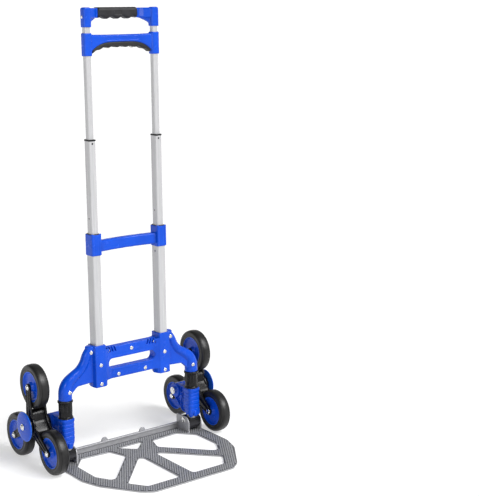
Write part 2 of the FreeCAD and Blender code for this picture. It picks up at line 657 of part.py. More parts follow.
def build_foot(name, side):
    """A black block between the plate's ears, rounded about the hinge so that the plate clears it."""
    body = new_body("foot")
    top = D.post_low - 0.3
    profile = [(-12.5, D.hinge_z - 11), (-12.5, top), (D.hinge_y + 14, top),
               (D.hinge_y + D.foot_round - 3, D.hinge_z), (D.hinge_y + 17, D.hinge_z - 17),
               (D.hinge_y, D.hinge_z - D.foot_round), (-7.0, D.hinge_z - 19)]
    pad = add(body, "YZ_Plane", [profile], D.foot_in * side, D.foot_out * side)
    round_edges(body, pad, 6.0, at_corners(1, 2, profile[3:6]))
    plug_rad = D.post_rad - D.post_wall - 0.05
    add(body, "XY_Plane", [Ring(D.post_x * side, 0.0, plug_rad)], top, D.post_low + 22)
    hole = Ring(D.hinge_y, D.hinge_z, D.hinge_rad + D.running_gap)
    cut(body, "YZ_Plane", [hole], D.foot_in * side, D.foot_out * side)
    finish_node(body, "foot_" + name)


# Toe plate and hinge pins

def build_toe_plate():
    body = new_body("toe_plate")
    rear, front = D.plate_rear, -D.plate_front
    outline = mirrored([(0.0, rear), (D.plate_half, rear), (D.plate_half, -106.0), (181.0, -153.0),
                        (128.0, -232.0), (104.0, front), (0.0, front)])
    pad = add(body, "XY_Plane", [outline], 0.0, D.plate_thick)
    for radius, u, v in ((40.0, D.plate_half, -106.0), (60.0, 181.0, -153.0), (25.0, 128.0, -232.0),
                         (25.0, 104.0, front)):
        pad = round_edges(body, pad, radius, at_corners(0, 1, [(u, v), (-u, v)]))
    for _, side in SIDES:
        side_gap = [(58.0 * side, 4.0), (130.0 * side, 9.0), (163.0 * side, -30.0),
                    (163.0 * side, -106.0), (139.0 * side, -149.0), (43.0 * side, -41.0)]
        front_gap = [(17.0 * side, -57.0), (127.0 * side, -180.0), (101.0 * side, -219.0),
                     (17.0 * side, -219.0)]
        for gap, radius in ((side_gap, 11.0), (front_gap, 9.0)):
            pocket = cut(body, "XY_Plane", [gap], 0.0, D.plate_thick)
            round_edges(body, pocket, radius, at_corners(0, 1, gap))
    rear_gap = [(-37.0, 13.0), (37.0, 13.0), (0.0, -24.0)]
    pocket = cut(body, "XY_Plane", [rear_gap], 0.0, D.plate_thick)
    round_edges(body, pocket, 4.0, at_corners(0, 1, rear_gap))

    ear_out = D.foot_out + 0.5
    add(body, "XZ_Plane", [box_loop(-ear_out, ear_out, 0.0, D.flange_top)], rear - 3, rear)
    for _, side in SIDES:
        tab = [((D.tab_x + D.tab_rad) * side, D.flange_top - 2), ((D.tab_x + D.tab_rad * 0.8) * side, 24.5),
               ((D.tab_x + 3) * side, 28.0), ((D.tab_x - 3) * side, 28.0),
               ((D.tab_x - D.tab_rad * 0.8) * side, 24.5), ((D.tab_x - D.tab_rad) * side, D.flange_top - 2)]
        pad = add(body, "XZ_Plane", [tab], rear - 3, rear)
        round_edges(body, pad, 4.0, at_corners(0, 2, tab[1:5]))
        for inner in (D.ear_in, ear_out):
            ear = [(-13.0, 0.0), (-13.0, D.ear_top), (rear, D.ear_top), (rear, 0.0)]
            pad = add(body, "YZ_Plane", [ear], inner * side, (inner + D.ear_thick) * side)
            round_edges(body, pad, 9.0, lambda a, b: abs(a.z - D.ear_top.number) < 0.01
                        and abs(b.z - a.z) < 0.01 and abs(a.y + 13) < 0.01 and abs(b.y + 13) < 0.01)
        hole = Ring(D.hinge_y, D.hinge_z, D.hinge_rad + D.running_gap)
        cut(body, "YZ_Plane", [hole], D.ear_in * side, (ear_out + D.ear_thick) * side)
    finish_node(body, "toe_plate")


def build_hinge_pins():
    pins = []
    for _, side in SIDES:
        start = (D.ear_in - 0.2) * side
        end = (D.foot_out + D.ear_thick + 0.7) * side
        pin = headed(D.hinge_rad, 6.5, "X", (D.hinge_y, D.hinge_z), end, start, 2.5)
        nut_low, nut_high = ordered(end, end + 2.5 * side)
        nut = cylinder(6.0, nut_low, nut_high - nut_low, "X", (D.hinge_y, D.hinge_z))
        whole = doc.addObject("Part::MultiFuse", "HingePin")
        whole.Shapes = [pin, nut]
        pins.append(whole)
    group("hinge_pins", pins)


# Wheel clusters

WHEELS = (("top", 90), ("front", 210), ("rear", 330))


def arm_end(angle):
    """The (y, z) place of a wheel's axle for an arm at this angle, measured from +Y towards +Z."""
    return (D.axle_y + D.arm_long * math.cos(math.radians(angle)),
            D.axle_z + D.arm_long * math.sin(math.radians(angle)))


def leg_outline(angle, root, tip):
    """A leg of the spider from its hub to a wheel's axle, narrowed beyond the axle."""
    along = (math.cos(math.radians(angle)), math.sin(math.radians(angle)))
    across = (-along[1], along[0])
    edge = [(2.0, root), (D.arm_long - 6, tip), (D.arm_long + tip * 0.9, tip * 0.5)]
    corners = edge + [(reach, -half) for reach, half in reversed(edge)]
    return [(D.axle_y + (a * along[0] + b * across[0]), D.axle_z + (a * along[1] + b * across[1]))
            for a, b in corners]


def build_spider(name, side):
    body = new_body("spider")
    hub_in, hub_out = D.hub_in * side, D.hub_out * side
    add(body, "YZ_Plane", [Ring(D.axle_y, D.axle_z, D.hub_rad)], hub_in, hub_out)
    inner_leg = (D.wheel_x - D.wheel_w / 2 - 1 - D.leg_thick) * side
    outer_leg = (D.wheel_x + D.wheel_w / 2 + 1) * side
    for leg, root in ((inner_leg, 20.0), (outer_leg, 12.0)):
        end = leg + D.leg_thick * side
        add(body, "YZ_Plane", [Ring(D.axle_y, D.axle_z, 24.0)], leg, end)
        for _, angle in WHEELS:
            add(body, "YZ_Plane", [leg_outline(angle, root, 8.5)], leg, end)
    for _, angle in WHEELS:
        y, z = arm_end(angle)
        bolt_hole = Ring(y, z, D.wheel_bolt_rad + 0.02)
        cut(body, "YZ_Plane", [bolt_hole], inner_leg, outer_leg + D.leg_thick * side)
    cut(body, "YZ_Plane", [Ring(D.axle_y, D.axle_z, D.axle_rad + D.running_gap)], hub_in, hub_out)
    finish_node(body, "spider_" + name)

    cap = new_body("hub_cap")
    profile = [(D.hub_out * side, D.axle_rad + 0.3), (D.hub_out * side, D.cap_rad - 1),
               ((D.hub_out + 2) * side, D.cap_rad), ((D.hub_out + 4.5) * side, 24.0),
               ((D.hub_out + 6) * side, 10.0), ((D.hub_out + 6) * side, D.axle_rad + 0.3)]
    turn(cap, profile)
    finish_node(cap, "hub_cap_" + name, y=D.mast_y + D.axle_y, z=D.axle_z)

    bolts = []
    nuts = []
    for _, angle in WHEELS:
        place = arm_end(angle)
        inner_face, outer_face = inner_leg, outer_leg + D.leg_thick * side
        bolts.append(headed(D.wheel_bolt_rad, 6.0, "X", place, inner_face, outer_face, 3.5))
        nut_low, nut_high = ordered(inner_face, inner_face - 3.0 * side)
        nuts.append(cylinder(6.5, nut_low, nut_high - nut_low, "X", place))
    group("wheel_bolts_" + name, bolts)
    group("wheel_nuts_" + name, nuts)


def build_axle_bolt(name, side):
    """The long bolt through the bracket and the spider, on which the cluster turns, and its nut."""
    place = (D.axle_y, D.axle_z)
    start, end = (D.post_x - 22) * side, (D.hub_out + 6.4) * side
    bolt = headed(D.axle_rad, 7.5, "X", place, start, end, 3.6)
    finish_node(bolt, "axle_bolt_" + name)


def build_axle_nuts():
    nuts = []
    for _, side in SIDES:
        low, high = ordered((D.post_x - 15.2) * side, (D.post_x - 21) * side)
        nut = doc.addObject("Part::Cut", "AxleNut")
        nut.Base = cylinder(8.5, low, high - low, "X", (D.axle_y, D.axle_z))
        nut.Tool = cylinder(D.axle_rad, low, high - low, "X", (D.axle_y, D.axle_z))
        nuts.append(nut)
    group("axle_nuts", nuts)


def build_wheel(side_name, side, wheel_name, angle):
    """A tyre and its wheel, turned about X at the wheel's own centre."""
    y, z = arm_end(angle)
    half = D.wheel_w / 2
    tyre = new_body("tyre")
    turn(tyre, [(-half + 1, D.rim_rad), (half - 1, D.rim_rad), (half, D.rim_rad + 2),
                (half, D.wheel_rad - 6), (half - 3, D.wheel_rad - 1.5), (half - 6.5, D.wheel_rad),
                (-half + 6.5, D.wheel_rad), (-half + 3, D.wheel_rad - 1.5), (-half, D.wheel_rad - 6),
                (-half, D.rim_rad + 2)])
    finish_node(tyre, f"tyre_{side_name}_{wheel_name}", x=D.wheel_x * side, y=D.mast_y + y, z=z)

    wheel = new_body("wheel")
    bore = D.wheel_bolt_rad + D.running_gap
    rim = D.rim_rad
    turn(wheel, [(-half, bore), (half, bore), (half, 9.0), (half - 4, 11.0), (half - 4, rim - 5),
                 (half - 1, rim - 3), (half - 1, rim), (-half + 1, rim), (-half + 1, rim - 3),
                 (-half + 4, rim - 5), (-half + 4, 11.0), (-half, 9.0)])
    finish_node(wheel, f"wheel_{side_name}_{wheel_name}", x=D.wheel_x * side, y=D.mast_y + y, z=z)


build_outer_tubes()
build_mid_tubes()
build_inner_tubes()
build_guides()
build_clamp()
build_release_handle()
build_top_handle()
build_release_rods()
build_base_shell("base_front_shell", FRONT)
build_base_shell("base_rear_shell", REAR)
build_base_screws()
for side_name, side in SIDES:
    build_post(side_name, side)
    build_bracket(side_name, side)
    build_foot(side_name, side)
    build_spider(side_name, side)
    build_axle_bolt(side_name, side)
    for wheel_name, angle in WHEELS:
        build_wheel(side_name, side, wheel_name, angle)
build_axle_nuts()
build_toe_plate()
build_hinge_pins()
doc.recompute()

for thing in doc.Objects:
    check(thing)
for node in nodes:
    if node.Shape.isNull() or not node.Shape.isValid():
        raise RuntimeError(f"{node.Label} has no valid shape")

os.makedirs("parts", exist_ok=True)
for node in nodes:
    node.Shape.exportStep(f"parts/{node.Label}.step")
print(len(nodes), "nodes written")
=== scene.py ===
import json
import math

import bmesh
import bpy
from mathutils import Matrix, Vector, geometry

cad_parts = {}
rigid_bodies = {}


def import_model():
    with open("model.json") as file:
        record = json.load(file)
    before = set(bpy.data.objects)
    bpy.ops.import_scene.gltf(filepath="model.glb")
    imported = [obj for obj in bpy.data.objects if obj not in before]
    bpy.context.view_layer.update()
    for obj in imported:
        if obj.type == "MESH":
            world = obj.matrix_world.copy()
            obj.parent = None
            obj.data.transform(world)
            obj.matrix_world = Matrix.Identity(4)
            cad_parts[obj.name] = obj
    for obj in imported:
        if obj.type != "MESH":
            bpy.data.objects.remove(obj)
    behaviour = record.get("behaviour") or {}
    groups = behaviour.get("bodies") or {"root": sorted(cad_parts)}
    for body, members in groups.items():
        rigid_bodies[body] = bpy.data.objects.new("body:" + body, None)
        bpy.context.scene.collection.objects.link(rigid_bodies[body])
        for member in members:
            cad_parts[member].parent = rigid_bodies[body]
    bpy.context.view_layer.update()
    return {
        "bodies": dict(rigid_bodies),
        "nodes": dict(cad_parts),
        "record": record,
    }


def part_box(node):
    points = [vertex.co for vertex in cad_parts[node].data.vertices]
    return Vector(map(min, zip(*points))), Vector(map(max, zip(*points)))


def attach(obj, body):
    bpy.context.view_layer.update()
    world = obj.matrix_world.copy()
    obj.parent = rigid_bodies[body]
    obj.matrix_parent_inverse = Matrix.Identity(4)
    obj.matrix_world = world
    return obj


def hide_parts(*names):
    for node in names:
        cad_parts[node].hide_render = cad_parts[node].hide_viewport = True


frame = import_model()

# Stair climbing trolley. Shapes are drawn in millimetres about the plane of the mast, with X across
# the trolley, Y to the rear and Z up, and are turned into metres in the row frame at the end.

MM = 0.001
SIDES = (("l", -1), ("r", 1))
WHEELS = ("top", "front", "rear")


def box_of(node):
    """The box of a CAD node in millimetres in the row frame."""
    low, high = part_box(node)
    return low / MM, high / MM


def size_of(node):
    """The box of a CAD node in millimetres about the plane of the mast."""
    shift = Vector((0.0, MAST_Y, 0.0))
    low, high = box_of(node)
    return low - shift, high - shift


def middle_of(node):
    low, high = size_of(node)
    return (low + high) / 2


tube_low, tube_high = box_of("outer_tube_l")
MAST_Y = ((tube_low + tube_high) / 2).y
MAST_X = middle_of("outer_tube_r").x
POST_X = middle_of("post_r").x
POST_TOP = size_of("post_r")[1].z
POST_BORE = 12.6
AXLE_Y, AXLE_Z = middle_of("hub_cap_r").yz
AXLE_LINE = (0.0, AXLE_Y, AXLE_Z)
AXLE_BORE = 5.3
FOOT_OUT = size_of("foot_r")[1].x


# ---------------------------------------------------------------- materials

def shader_tree(name):
    material = bpy.data.materials.new(name)
    material.use_nodes = True
    tree = material.node_tree
    return material, tree, tree.nodes["Principled BSDF"]


def noise(tree, scale, detail=4.0, stretch=(1.0, 1.0, 1.0)):
    """A noise texture in object space; scale is in lumps per metre."""
    place = tree.nodes.new("ShaderNodeTexCoord")
    mapping = tree.nodes.new("ShaderNodeMapping")
    mapping.inputs["Scale"].default_value = stretch
    texture = tree.nodes.new("ShaderNodeTexNoise")
    texture.inputs["Scale"].default_value = scale
    texture.inputs["Detail"].default_value = detail
    tree.links.new(place.outputs["Object"], mapping.inputs["Vector"])
    tree.links.new(mapping.outputs["Vector"], texture.inputs["Vector"])
    return texture.outputs["Fac"]


def spread(tree, value, low, high, start=0.3, end=0.7):
    """Map a value between start and end to low and high."""
    node = tree.nodes.new("ShaderNodeMapRange")
    node.inputs["From Min"].default_value = start
    node.inputs["From Max"].default_value = end
    node.inputs["To Min"].default_value = low
    node.inputs["To Max"].default_value = high
    tree.links.new(value, node.inputs["Value"])
    return node.outputs["Result"]


def blend(tree, factor, first, second):
    """Mix two colours by a factor; either may be a socket."""
    node = tree.nodes.new("ShaderNodeMix")
    node.data_type = "RGBA"
    tree.links.new(factor, node.inputs["Factor"])
    for socket, colour in ((node.inputs[6], first), (node.inputs[7], second)):
        if isinstance(colour, tuple):
            socket.default_value = (*colour, 1.0)
        else:
            tree.links.new(colour, socket)
    return node.outputs[2]


def edge_wear(tree):
    """A factor that is 1 on sharp outer edges."""
    node = tree.nodes.new("ShaderNodeNewGeometry")
    return spread(tree, node.outputs["Pointiness"], 0.0, 1.0, 0.54, 0.62)


def bump(tree, shader, height, distance, strength=0.5):
    node = tree.nodes.new("ShaderNodeBump")
    node.inputs["Distance"].default_value = distance
    node.inputs["Strength"].default_value = strength
    tree.links.new(height, node.inputs["Height"])
    tree.links.new(node.outputs["Normal"], shader.inputs["Normal"])


def moulded(name, dark, light, worn, rough, grain, specular):
    """A moulded plastic: slow colour drift, paler worn edges, a fine grain and uneven gloss."""
    material, tree, shader = shader_tree(name)
    body = blend(tree, spread(tree, noise(tree, 14.0), 0.0, 1.0), dark, light)
    coloured = blend(tree, edge_wear(tree), body, worn)
    tree.links.new(coloured, shader.inputs["Base Color"])
    gloss = spread(tree, noise(tree, 60.0, 6.0), *rough)
    tree.links.new(gloss, shader.inputs["Roughness"])
    shader.inputs["Specular IOR Level"].default_value = specular
    bump(tree, shader, noise(tree, grain, 3.0), 0.00008, 0.35)
    return material


def rubber(name, dark, dusty, rough, grain, distance):
    """Black rubber with pale dust in patches and a matt, grainy skin."""
    material, tree, shader = shader_tree(name)
    dust = spread(tree, noise(tree, 45.0, 8.0), 0.0, 1.0, 0.42, 0.75)
    tree.links.new(blend(tree, dust, dark, dusty), shader.inputs["Base Color"])
    gloss = spread(tree, noise(tree, 90.0, 5.0), *rough)
    tree.links.new(gloss, shader.inputs["Roughness"])
    shader.inputs["Specular IOR Level"].default_value = 0.4
    bump(tree, shader, noise(tree, grain, 4.0), distance, 0.5)
    return material


def drawn_metal(name, dark, light, rough, stretch, scale, distance=0.00004, metal=1.0):
    """Metal with fine lines along its drawn or brushed direction."""
    material, tree, shader = shader_tree(name)
    shader.inputs["Metallic"].default_value = metal
    lines = noise(tree, scale, 6.0, stretch)
    clouds = noise(tree, 9.0, 3.0)
    tone = blend(tree, spread(tree, lines, 0.0, 1.0), dark, light)
    cloudy = blend(tree, spread(tree, clouds, 0.0, 0.35), tone, light)
    tree.links.new(cloudy, shader.inputs["Base Color"])
    gloss = spread(tree, lines, *rough)
    tree.links.new(gloss, shader.inputs["Roughness"])
    bump(tree, shader, lines, distance, 0.4)
    return material


BLUE = moulded("royal_blue", (0.001, 0.052, 0.45), (0.003, 0.072, 0.58), (0.03, 0.19, 0.78),
               (0.18, 0.30), 1800.0, 0.24)
BLACK = moulded("black_nylon", (0.003, 0.003, 0.0035), (0.007, 0.007, 0.008), (0.03, 0.03, 0.034),
                (0.18, 0.32), 1500.0, 0.26)
GRIP = rubber("soft_grip", (0.006, 0.006, 0.007), (0.018, 0.018, 0.021), (0.45, 0.62), 1400.0, 0.00025)
TYRE = rubber("tyre_rubber", (0.005, 0.0048, 0.005), (0.014, 0.0135, 0.014), (0.30, 0.48), 900.0, 0.0002)
TUBE = drawn_metal("satin_tube", (0.40, 0.40, 0.41), (0.49, 0.49, 0.50), (0.18, 0.28),
                   (1.0, 1.0, 0.015), 900.0, metal=0.15)
# The plate's upper face between the diamonds is drawn much darker than the rest of the plate: painted
# shade in the grooves.
PLATE_SHADED = drawn_metal("plate_sheet_painted_shade", (0.085, 0.087, 0.094), (0.15, 0.153, 0.165), (0.36, 0.50),
                    (1.0, 0.2, 1.0), 240.0, 0.00008, metal=0.4)
FLANGE = drawn_metal("plate_flange", (0.26, 0.26, 0.27), (0.38, 0.38, 0.395), (0.28, 0.42),
                     (0.2, 1.0, 1.0), 400.0, 0.00008, metal=0.3)
# The diamond tops are drawn lighter than the rest of the plate: painted highlight.
TREAD_PAINTED_LIGHT = drawn_metal("tread_tops_painted_highlight", (0.38, 0.385, 0.40), (0.56, 0.565, 0.58), (0.26, 0.40),
                    (1.0, 1.0, 1.0), 300.0, metal=0.3)
STEEL = drawn_metal("zinc_steel", (0.62, 0.62, 0.61), (0.88, 0.88, 0.86), (0.12, 0.26),
                    (1.0, 1.0, 1.0), 700.0)
POST = drawn_metal("post_tube", (0.30, 0.31, 0.33), (0.42, 0.43, 0.45), (0.3, 0.45),
                   (1.0, 1.0, 0.03), 600.0)
SLOTS = {"blue_plastic": BLUE, "black_plastic": BLACK, "black_grip": GRIP, "tyre": TYRE,
         "tube_aluminium": TUBE, "plate_aluminium": PLATE_SHADED, "bright_steel": STEEL, "post_steel": POST}
SLOT_NAMES = {look: slot for slot, look in SLOTS.items()}
SLOT_NAMES |= {TREAD_PAINTED_LIGHT: "plate_aluminium", FLANGE: "plate_aluminium"}


# ---------------------------------------------------------------- shells

def offset(loop, distance):
    """Move a closed loop of (u, v) points to its left by a distance."""
    moved = []
    for i, point in enumerate(loop):
        here = Vector(point)
        first = (here - Vector(loop[i - 1])).normalized()
        second = (Vector(loop[(i + 1) % len(loop)]) - here).normalized()
        normal = Vector((-first.y - second.y, first.x + second.x)).normalized()
        reach = max(0.5, normal.dot(Vector((-first.y, first.x))))
        moved.append(here + normal * distance / reach)
    return moved


def area(loop):
    return sum(loop[i - 1][0] * p[1] - p[0] * loop[i - 1][1] for i, p in enumerate(loop)) / 2


def turned(loop, outer):
    """List a loop's points anticlockwise for an outline and clockwise for a hole."""
    return list(loop) if (area(loop) > 0) == outer else list(reversed(loop))


def rounded(corners, radii, steps=6):
    """A closed outline with its corners rounded by arcs; radii is one number or one for each corner."""
    if not hasattr(radii, "__len__"):
        radii = [radii] * len(corners)
    outline = []
    for i, radius in enumerate(radii):
        here = Vector(corners[i])
        before, after = Vector(corners[i - 1]) - here, Vector(corners[(i + 1) % len(corners)]) - here
        half = before.angle(after) / 2
        if radius < 0.01 or half > 1.56:
            outline.append(here)
            continue
        reach = min(radius / math.tan(half), 0.49 * before.length, 0.49 * after.length)
        real = reach * math.tan(half)
        start, end = here + before.normalized() * reach, here + after.normalized() * reach
        centre = here + (before.normalized() + after.normalized()).normalized() * real / math.sin(half)
        first, last = start - centre, end - centre
        sweep_angle = first.angle_signed(last)
        for k in range(steps + 1):
            turn = Matrix.Rotation(-sweep_angle * k / steps, 2)
            outline.append(centre + turn @ first)
    return outline


def rectangle(u0, u1, v0, v1, radius=0.0, steps=5):
    return rounded([(u0, v0), (u1, v0), (u1, v1), (u0, v1)], radius, steps)


def circle(u, v, radius, steps=32):
    turns = [2 * math.pi * k / steps for k in range(steps)]
    return [(u + radius * math.cos(t), v + radius * math.sin(t)) for t in turns]


def pill(a, radius_a, b, radius_b, steps=14):
    """The outline of a tapered bar with a round end about each of two points."""
    a, b = Vector(a), Vector(b)
    along = math.atan2(b.y - a.y, b.x - a.x)
    lean = math.acos(max(-1.0, min(1.0, (radius_a - radius_b) / (b - a).length)))
    outline = []
    for centre, radius, start, end in ((b, radius_b, along - lean, along + lean),
                                       (a, radius_a, along + lean, along - lean + 2 * math.pi)):
        for k in range(steps + 1):
            t = start + (end - start) * k / steps
            outline.append((centre.x + radius * math.cos(t), centre.y + radius * math.sin(t)))
    return outline


def at(x, section):
    """A section's points at one place across the trolley."""
    return [(x, u, v) for u, v in section]


def to_side(loop, side):
    """An outline drawn for the right side, mirrored when side is -1."""
    return [(u * side, v) for u, v in loop]


def set_along(axis, u, v, w):
    """A point from its two places on a section and its place along the axis."""
    return {"X": (w, u, v), "Y": (u, w, v), "Z": (u, v, w)}[axis]


def band(first, count):
    """The faces between a ring of points and the ring that follows it."""
    pairs = [(first + k, first + (k + 1) % count) for k in range(count)]
    return [(a, b, b + count, a + count) for a, b in pairs]


def slab(loops, low, high, axis="Z", edge=0.4, steps=2):
    """A plate between two levels of an axis, from its outline and holes, with rounded edges."""
    low, high = min(low, high), max(low, high)
    edge = min(edge, (high - low) / 2.01)
    levels = []
    for k in range(steps + 1):
        turn = math.pi / 2 * k / steps
        levels.append((edge * (1 - math.sin(turn)), low + edge * (1 - math.cos(turn))))
    levels += [(inset, low + high - level) for inset, level in reversed(levels)]
    loops = [turned(loop, i == 0) for i, loop in enumerate(loops)]
    points, faces = [], []
    ends = [[], []]
    for loop in loops:
        count = len(loop)
        first = len(points)
        for i, (inset, level) in enumerate(levels):
            ring = offset(loop, inset)
            points += [set_along(axis, u, v, level) for u, v in ring]
            if i in (0, len(levels) - 1):
                ends[0 if i == 0 else 1].append((ring, first + i * count))
        for i in range(len(levels) - 1):
            faces += band(first + i * count, count)
    for end in ends:
        flat = [index + k for ring, index in end for k in range(len(ring))]
        corners = [[Vector((u, v, 0.0)) for u, v in ring] for ring, _ in end]
        for triangle in geometry.tessellate_polygon(corners):
            faces.append(tuple(flat[k] for k in triangle))
    return points, faces


def block(x, y, z, edge=1.0, corner=None, axis="Z"):
    """A box between pairs of places, with rounded corners and edges."""
    spans = {"X": (y, z, x), "Y": (x, z, y), "Z": (x, y, z)}[axis]
    (u0, u1), (v0, v1), (w0, w1) = [sorted(span) for span in spans]
    radius = edge if corner is None else corner
    return slab([rectangle(u0, u1, v0, v1, radius)], w0, w1, axis, edge)


def lathe(profile, centre, axis="X", steps=64, shape=None):
    """Turn a profile of (along, radius) about an axis. It closes on itself unless both ends are at
    radius 0. shape(along, radius, turn) may change a point."""
    centre = Vector(centre)
    closed = profile[0][1] > 1e-6
    points, rings = [], []
    for along, radius in profile:
        ring = []
        for k in range(steps if radius > 1e-6 else 1):
            turn = 2 * math.pi * k / steps
            a, r = shape(along, radius, turn) if shape else (along, radius)
            ring.append(len(points))
            points.append(Vector(set_along(axis, r * math.cos(turn), r * math.sin(turn), a)) + centre)
        rings.append(ring)
    faces = []
    pairs = list(zip(rings, rings[1:] + rings[:1])) if closed else list(zip(rings, rings[1:]))
    for first, second in pairs:
        for k in range(steps):
            a, b = first[k % len(first)], first[(k + 1) % len(first)]
            c, d = second[(k + 1) % len(second)], second[k % len(second)]
            faces.append(tuple(dict.fromkeys((a, b, c, d))))
    return points, faces


def rod(low, high, radius, centre, axis, steps):
    """A plain round bar between two places along an axis."""
    return lathe([(low, 0.0), (low, radius), (high, radius), (high, 0.0)], centre, axis, steps)


def through(points, count):
    """A smooth curve through points; each point may have any number of values."""
    points = [Vector(p) for p in points]
    ends = [points[0] * 2 - points[1], *points, points[-1] * 2 - points[-2]]
    curve = []
    for i in range(1, len(ends) - 2):
        for k in range(count):
            t = k / count
            p0, p1, p2, p3 = ends[i - 1:i + 3]
            curve.append(0.5 * (2 * p1 + (p2 - p0) * t + (2 * p0 - 5 * p1 + 4 * p2 - p3) * t * t
                                + (3 * p1 - p0 - 3 * p2 + p3) * t ** 3))
    return curve + [points[-1]]


def sweep(path, steps):
    """A round bar in the XZ plane through points of (x, z, y, radius)."""
    curve = through(path, 8)
    rings = []
    for i, (x, z, y, radius) in enumerate(curve):
        before, after = curve[max(i - 1, 0)], curve[min(i + 1, len(curve) - 1)]
        along = Vector((after[0] - before[0], 0.0, after[1] - before[1])).normalized()
        across = Vector((along.z, 0.0, -along.x))
        ring = []
        for k in range(steps):
            turn = 2 * math.pi * k / steps
            out = across * math.cos(turn) + Vector((0.0, 1.0, 0.0)) * math.sin(turn)
            ring.append(Vector((x, y, z)) + out * radius)
        rings.append(ring)
    return loft(rings)


def loft(rings):
    """Join closed rings of points, each with the same number, and cap both ends."""
    count = len(rings[0])
    points = [Vector(p) for ring in rings for p in ring]
    faces = []
    for i in range(len(rings) - 1):
        faces += band(i * count, count)
    faces.append(tuple(range(count)))
    faces.append(tuple(range(len(points) - count, len(points))))
    return points, faces


# ---------------------------------------------------------------- pieces

def mesh_of(name, shells):
    """One mesh in metres in the row frame from shells in millimetres about the mast."""
    points, faces = [], []
    for shell_points, shell_faces in shells:
        first = len(points)
        points += [(x * MM, (y + MAST_Y) * MM, z * MM) for x, y, z in shell_points]
        faces += [tuple(first + i for i in face) for face in shell_faces]
    mesh = bpy.data.meshes.new(name)
    mesh.from_pydata(points, [], faces)
    mesh.update()
    consistent(mesh)
    return mesh


def consistent(mesh):
    """Turn every face of a mesh outwards."""
    bm = bmesh.new()
    bm.from_mesh(mesh)
    bmesh.ops.recalc_face_normals(bm, faces=bm.faces)
    bm.to_mesh(mesh)
    bm.free()


def placed(name, data):
    thing = bpy.data.objects.new(name, data)
    bpy.context.scene.collection.objects.link(thing)
    return thing


def blended(name, solids, cutters=(), voxel=0.9, smooth=3, keep=0.4):
    """Unite solids, cut the cutters away and round everything off, as a moulding is."""
    base = placed(name + "_raw", mesh_of(name, [solids[0]]))
    helpers = []
    for operation, shells in (("UNION", solids[1:]), ("DIFFERENCE", cutters)):
        for shell in shells:
            helper = placed(name + "_helper", mesh_of(name + "_helper", [shell]))
            modifier = base.modifiers.new("cut", "BOOLEAN")
            modifier.operation = operation
            modifier.solver = "MANIFOLD"
            modifier.object = helper
            helpers.append(helper)
    remesh = base.modifiers.new("skin", "REMESH")
    remesh.mode = "VOXEL"
    remesh.voxel_size = voxel * MM
    relax = base.modifiers.new("relax", "SMOOTH")
    relax.factor = 0.5
    relax.iterations = smooth
    thin = base.modifiers.new("thin", "DECIMATE")
    thin.ratio = keep
    bpy.context.view_layer.update()
    graph = bpy.context.evaluated_depsgraph_get()
    mesh = bpy.data.meshes.new_from_object(base.evaluated_get(graph))
    mesh.name = name
    for thing in [*helpers, base]:
        old = thing.data
        bpy.data.objects.remove(thing)
        bpy.data.meshes.remove(old)
    return mesh


def piece(name, shape, material, body, nodes, sharp=32.0):
    """Show a mesh or a list of shells as one piece that rides on a body and stands for CAD nodes."""
    mesh = mesh_of(name, shape) if isinstance(shape, list) else shape
    thing = placed(name, mesh)
    mesh.materials.clear()
    mesh.materials.append(material)
    for polygon in mesh.polygons:
        polygon.use_smooth = True
    mesh.set_sharp_from_angle(angle=math.radians(sharp))
    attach(thing, body)
    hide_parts(*nodes)
    return thing


# ---------------------------------------------------------------- screws and bolts

def cross_head(centre, axis, out, radius, high, bolt=0.0, long=0.0):
    """A pan-head screw with a cross recess, its back face at centre and its head towards out."""
    def recess(along, r, turn):
        if r > 0.7 * radius or along * out < 0.3 * high:
            return along, r
        u, v = abs(r * math.cos(turn)), abs(r * math.sin(turn))
        inside = min(u, v) < 0.17 * radius
        depth = 0.75 * high * (1 - 0.5 * r / radius)
        return (along - out * depth, r) if inside else (along, r)

    top = []
    for k in range(13):
        r = radius * math.sin(math.pi / 2 * (1 - k / 12))
        rise = high * (0.35 + 0.65 * math.cos(math.pi / 2 * r / radius) ** 0.6)
        top.append((out * rise, r if k < 12 else 0.0))
    back = [(-out * long, 0.0), (-out * long, bolt), (0.0, bolt)] if long else [(0.0, 0.0)]
    profile = back + [(0.0, radius)] + top
    return lathe(profile, centre, axis, 48, recess)


def button_head(centre, axis, out, radius, high, bolt=0.0, long=0.0):
    """A domed bolt head with a round recess and a thin washer under it."""
    profile = [(-out * long, 0.0), (-out * long, bolt), (0.0, bolt), (0.0, radius * 1.25),
               (out * 0.16 * high, radius * 1.27), (out * 0.24 * high, radius * 1.2),
               (out * 0.25 * high, radius)]
    for k in range(9):
        turn = math.pi / 2 * k / 8
        profile.append((out * high * (0.35 + 0.65 * math.sin(turn)),
                        radius * (1 - 0.62 * (k / 8) ** 1.6)))
    profile += [(out * high * 0.55, radius * 0.34), (out * high * 0.5, 0.0)]
    return lathe(profile, centre, axis, 40)


def hex_nut(centre, axis, out, radius, high):
    u, v = {"X": (centre[1], centre[2]), "Y": (centre[0], centre[2]), "Z": centre[:2]}[axis]
    level = centre["XYZ".index(axis)]
    return slab([circle(u, v, radius, 6)], level, level + out * high, axis, 0.9, 3)


# ---------------------------------------------------------------- base moulding

SOCKET_TOP, SOCKET_LOW = size_of("base_front_shell")[1].z, 168.0
BEAM_TOP, BEAM_LOW = SOCKET_TOP - 10.5, 180.0
SLOT_Z, SLOT_HALF, SLOT_RAD = 215.5, 62.0, 11.5
WEB_DEEP, BEAM_DEEP, SOCKET_DEEP, ELBOW_RAD = 6.0, 9.0, 16.5, 15.4
ARM_PATH = [(107.0, 252.0, 0.0, 10.4), (113.5, 243.0, 0.0, 10.4), (121.0, 226.0, 0.0, 10.6),
            (133.0, 211.5, 0.0, 11.0), (150.0, 200.5, 0.0, 12.0), (163.5, 189.0, 0.0, 13.6),
            (169.4, 174.0, 0.0, 15.1), (POST_X, 152.6, 0.0, ELBOW_RAD)]


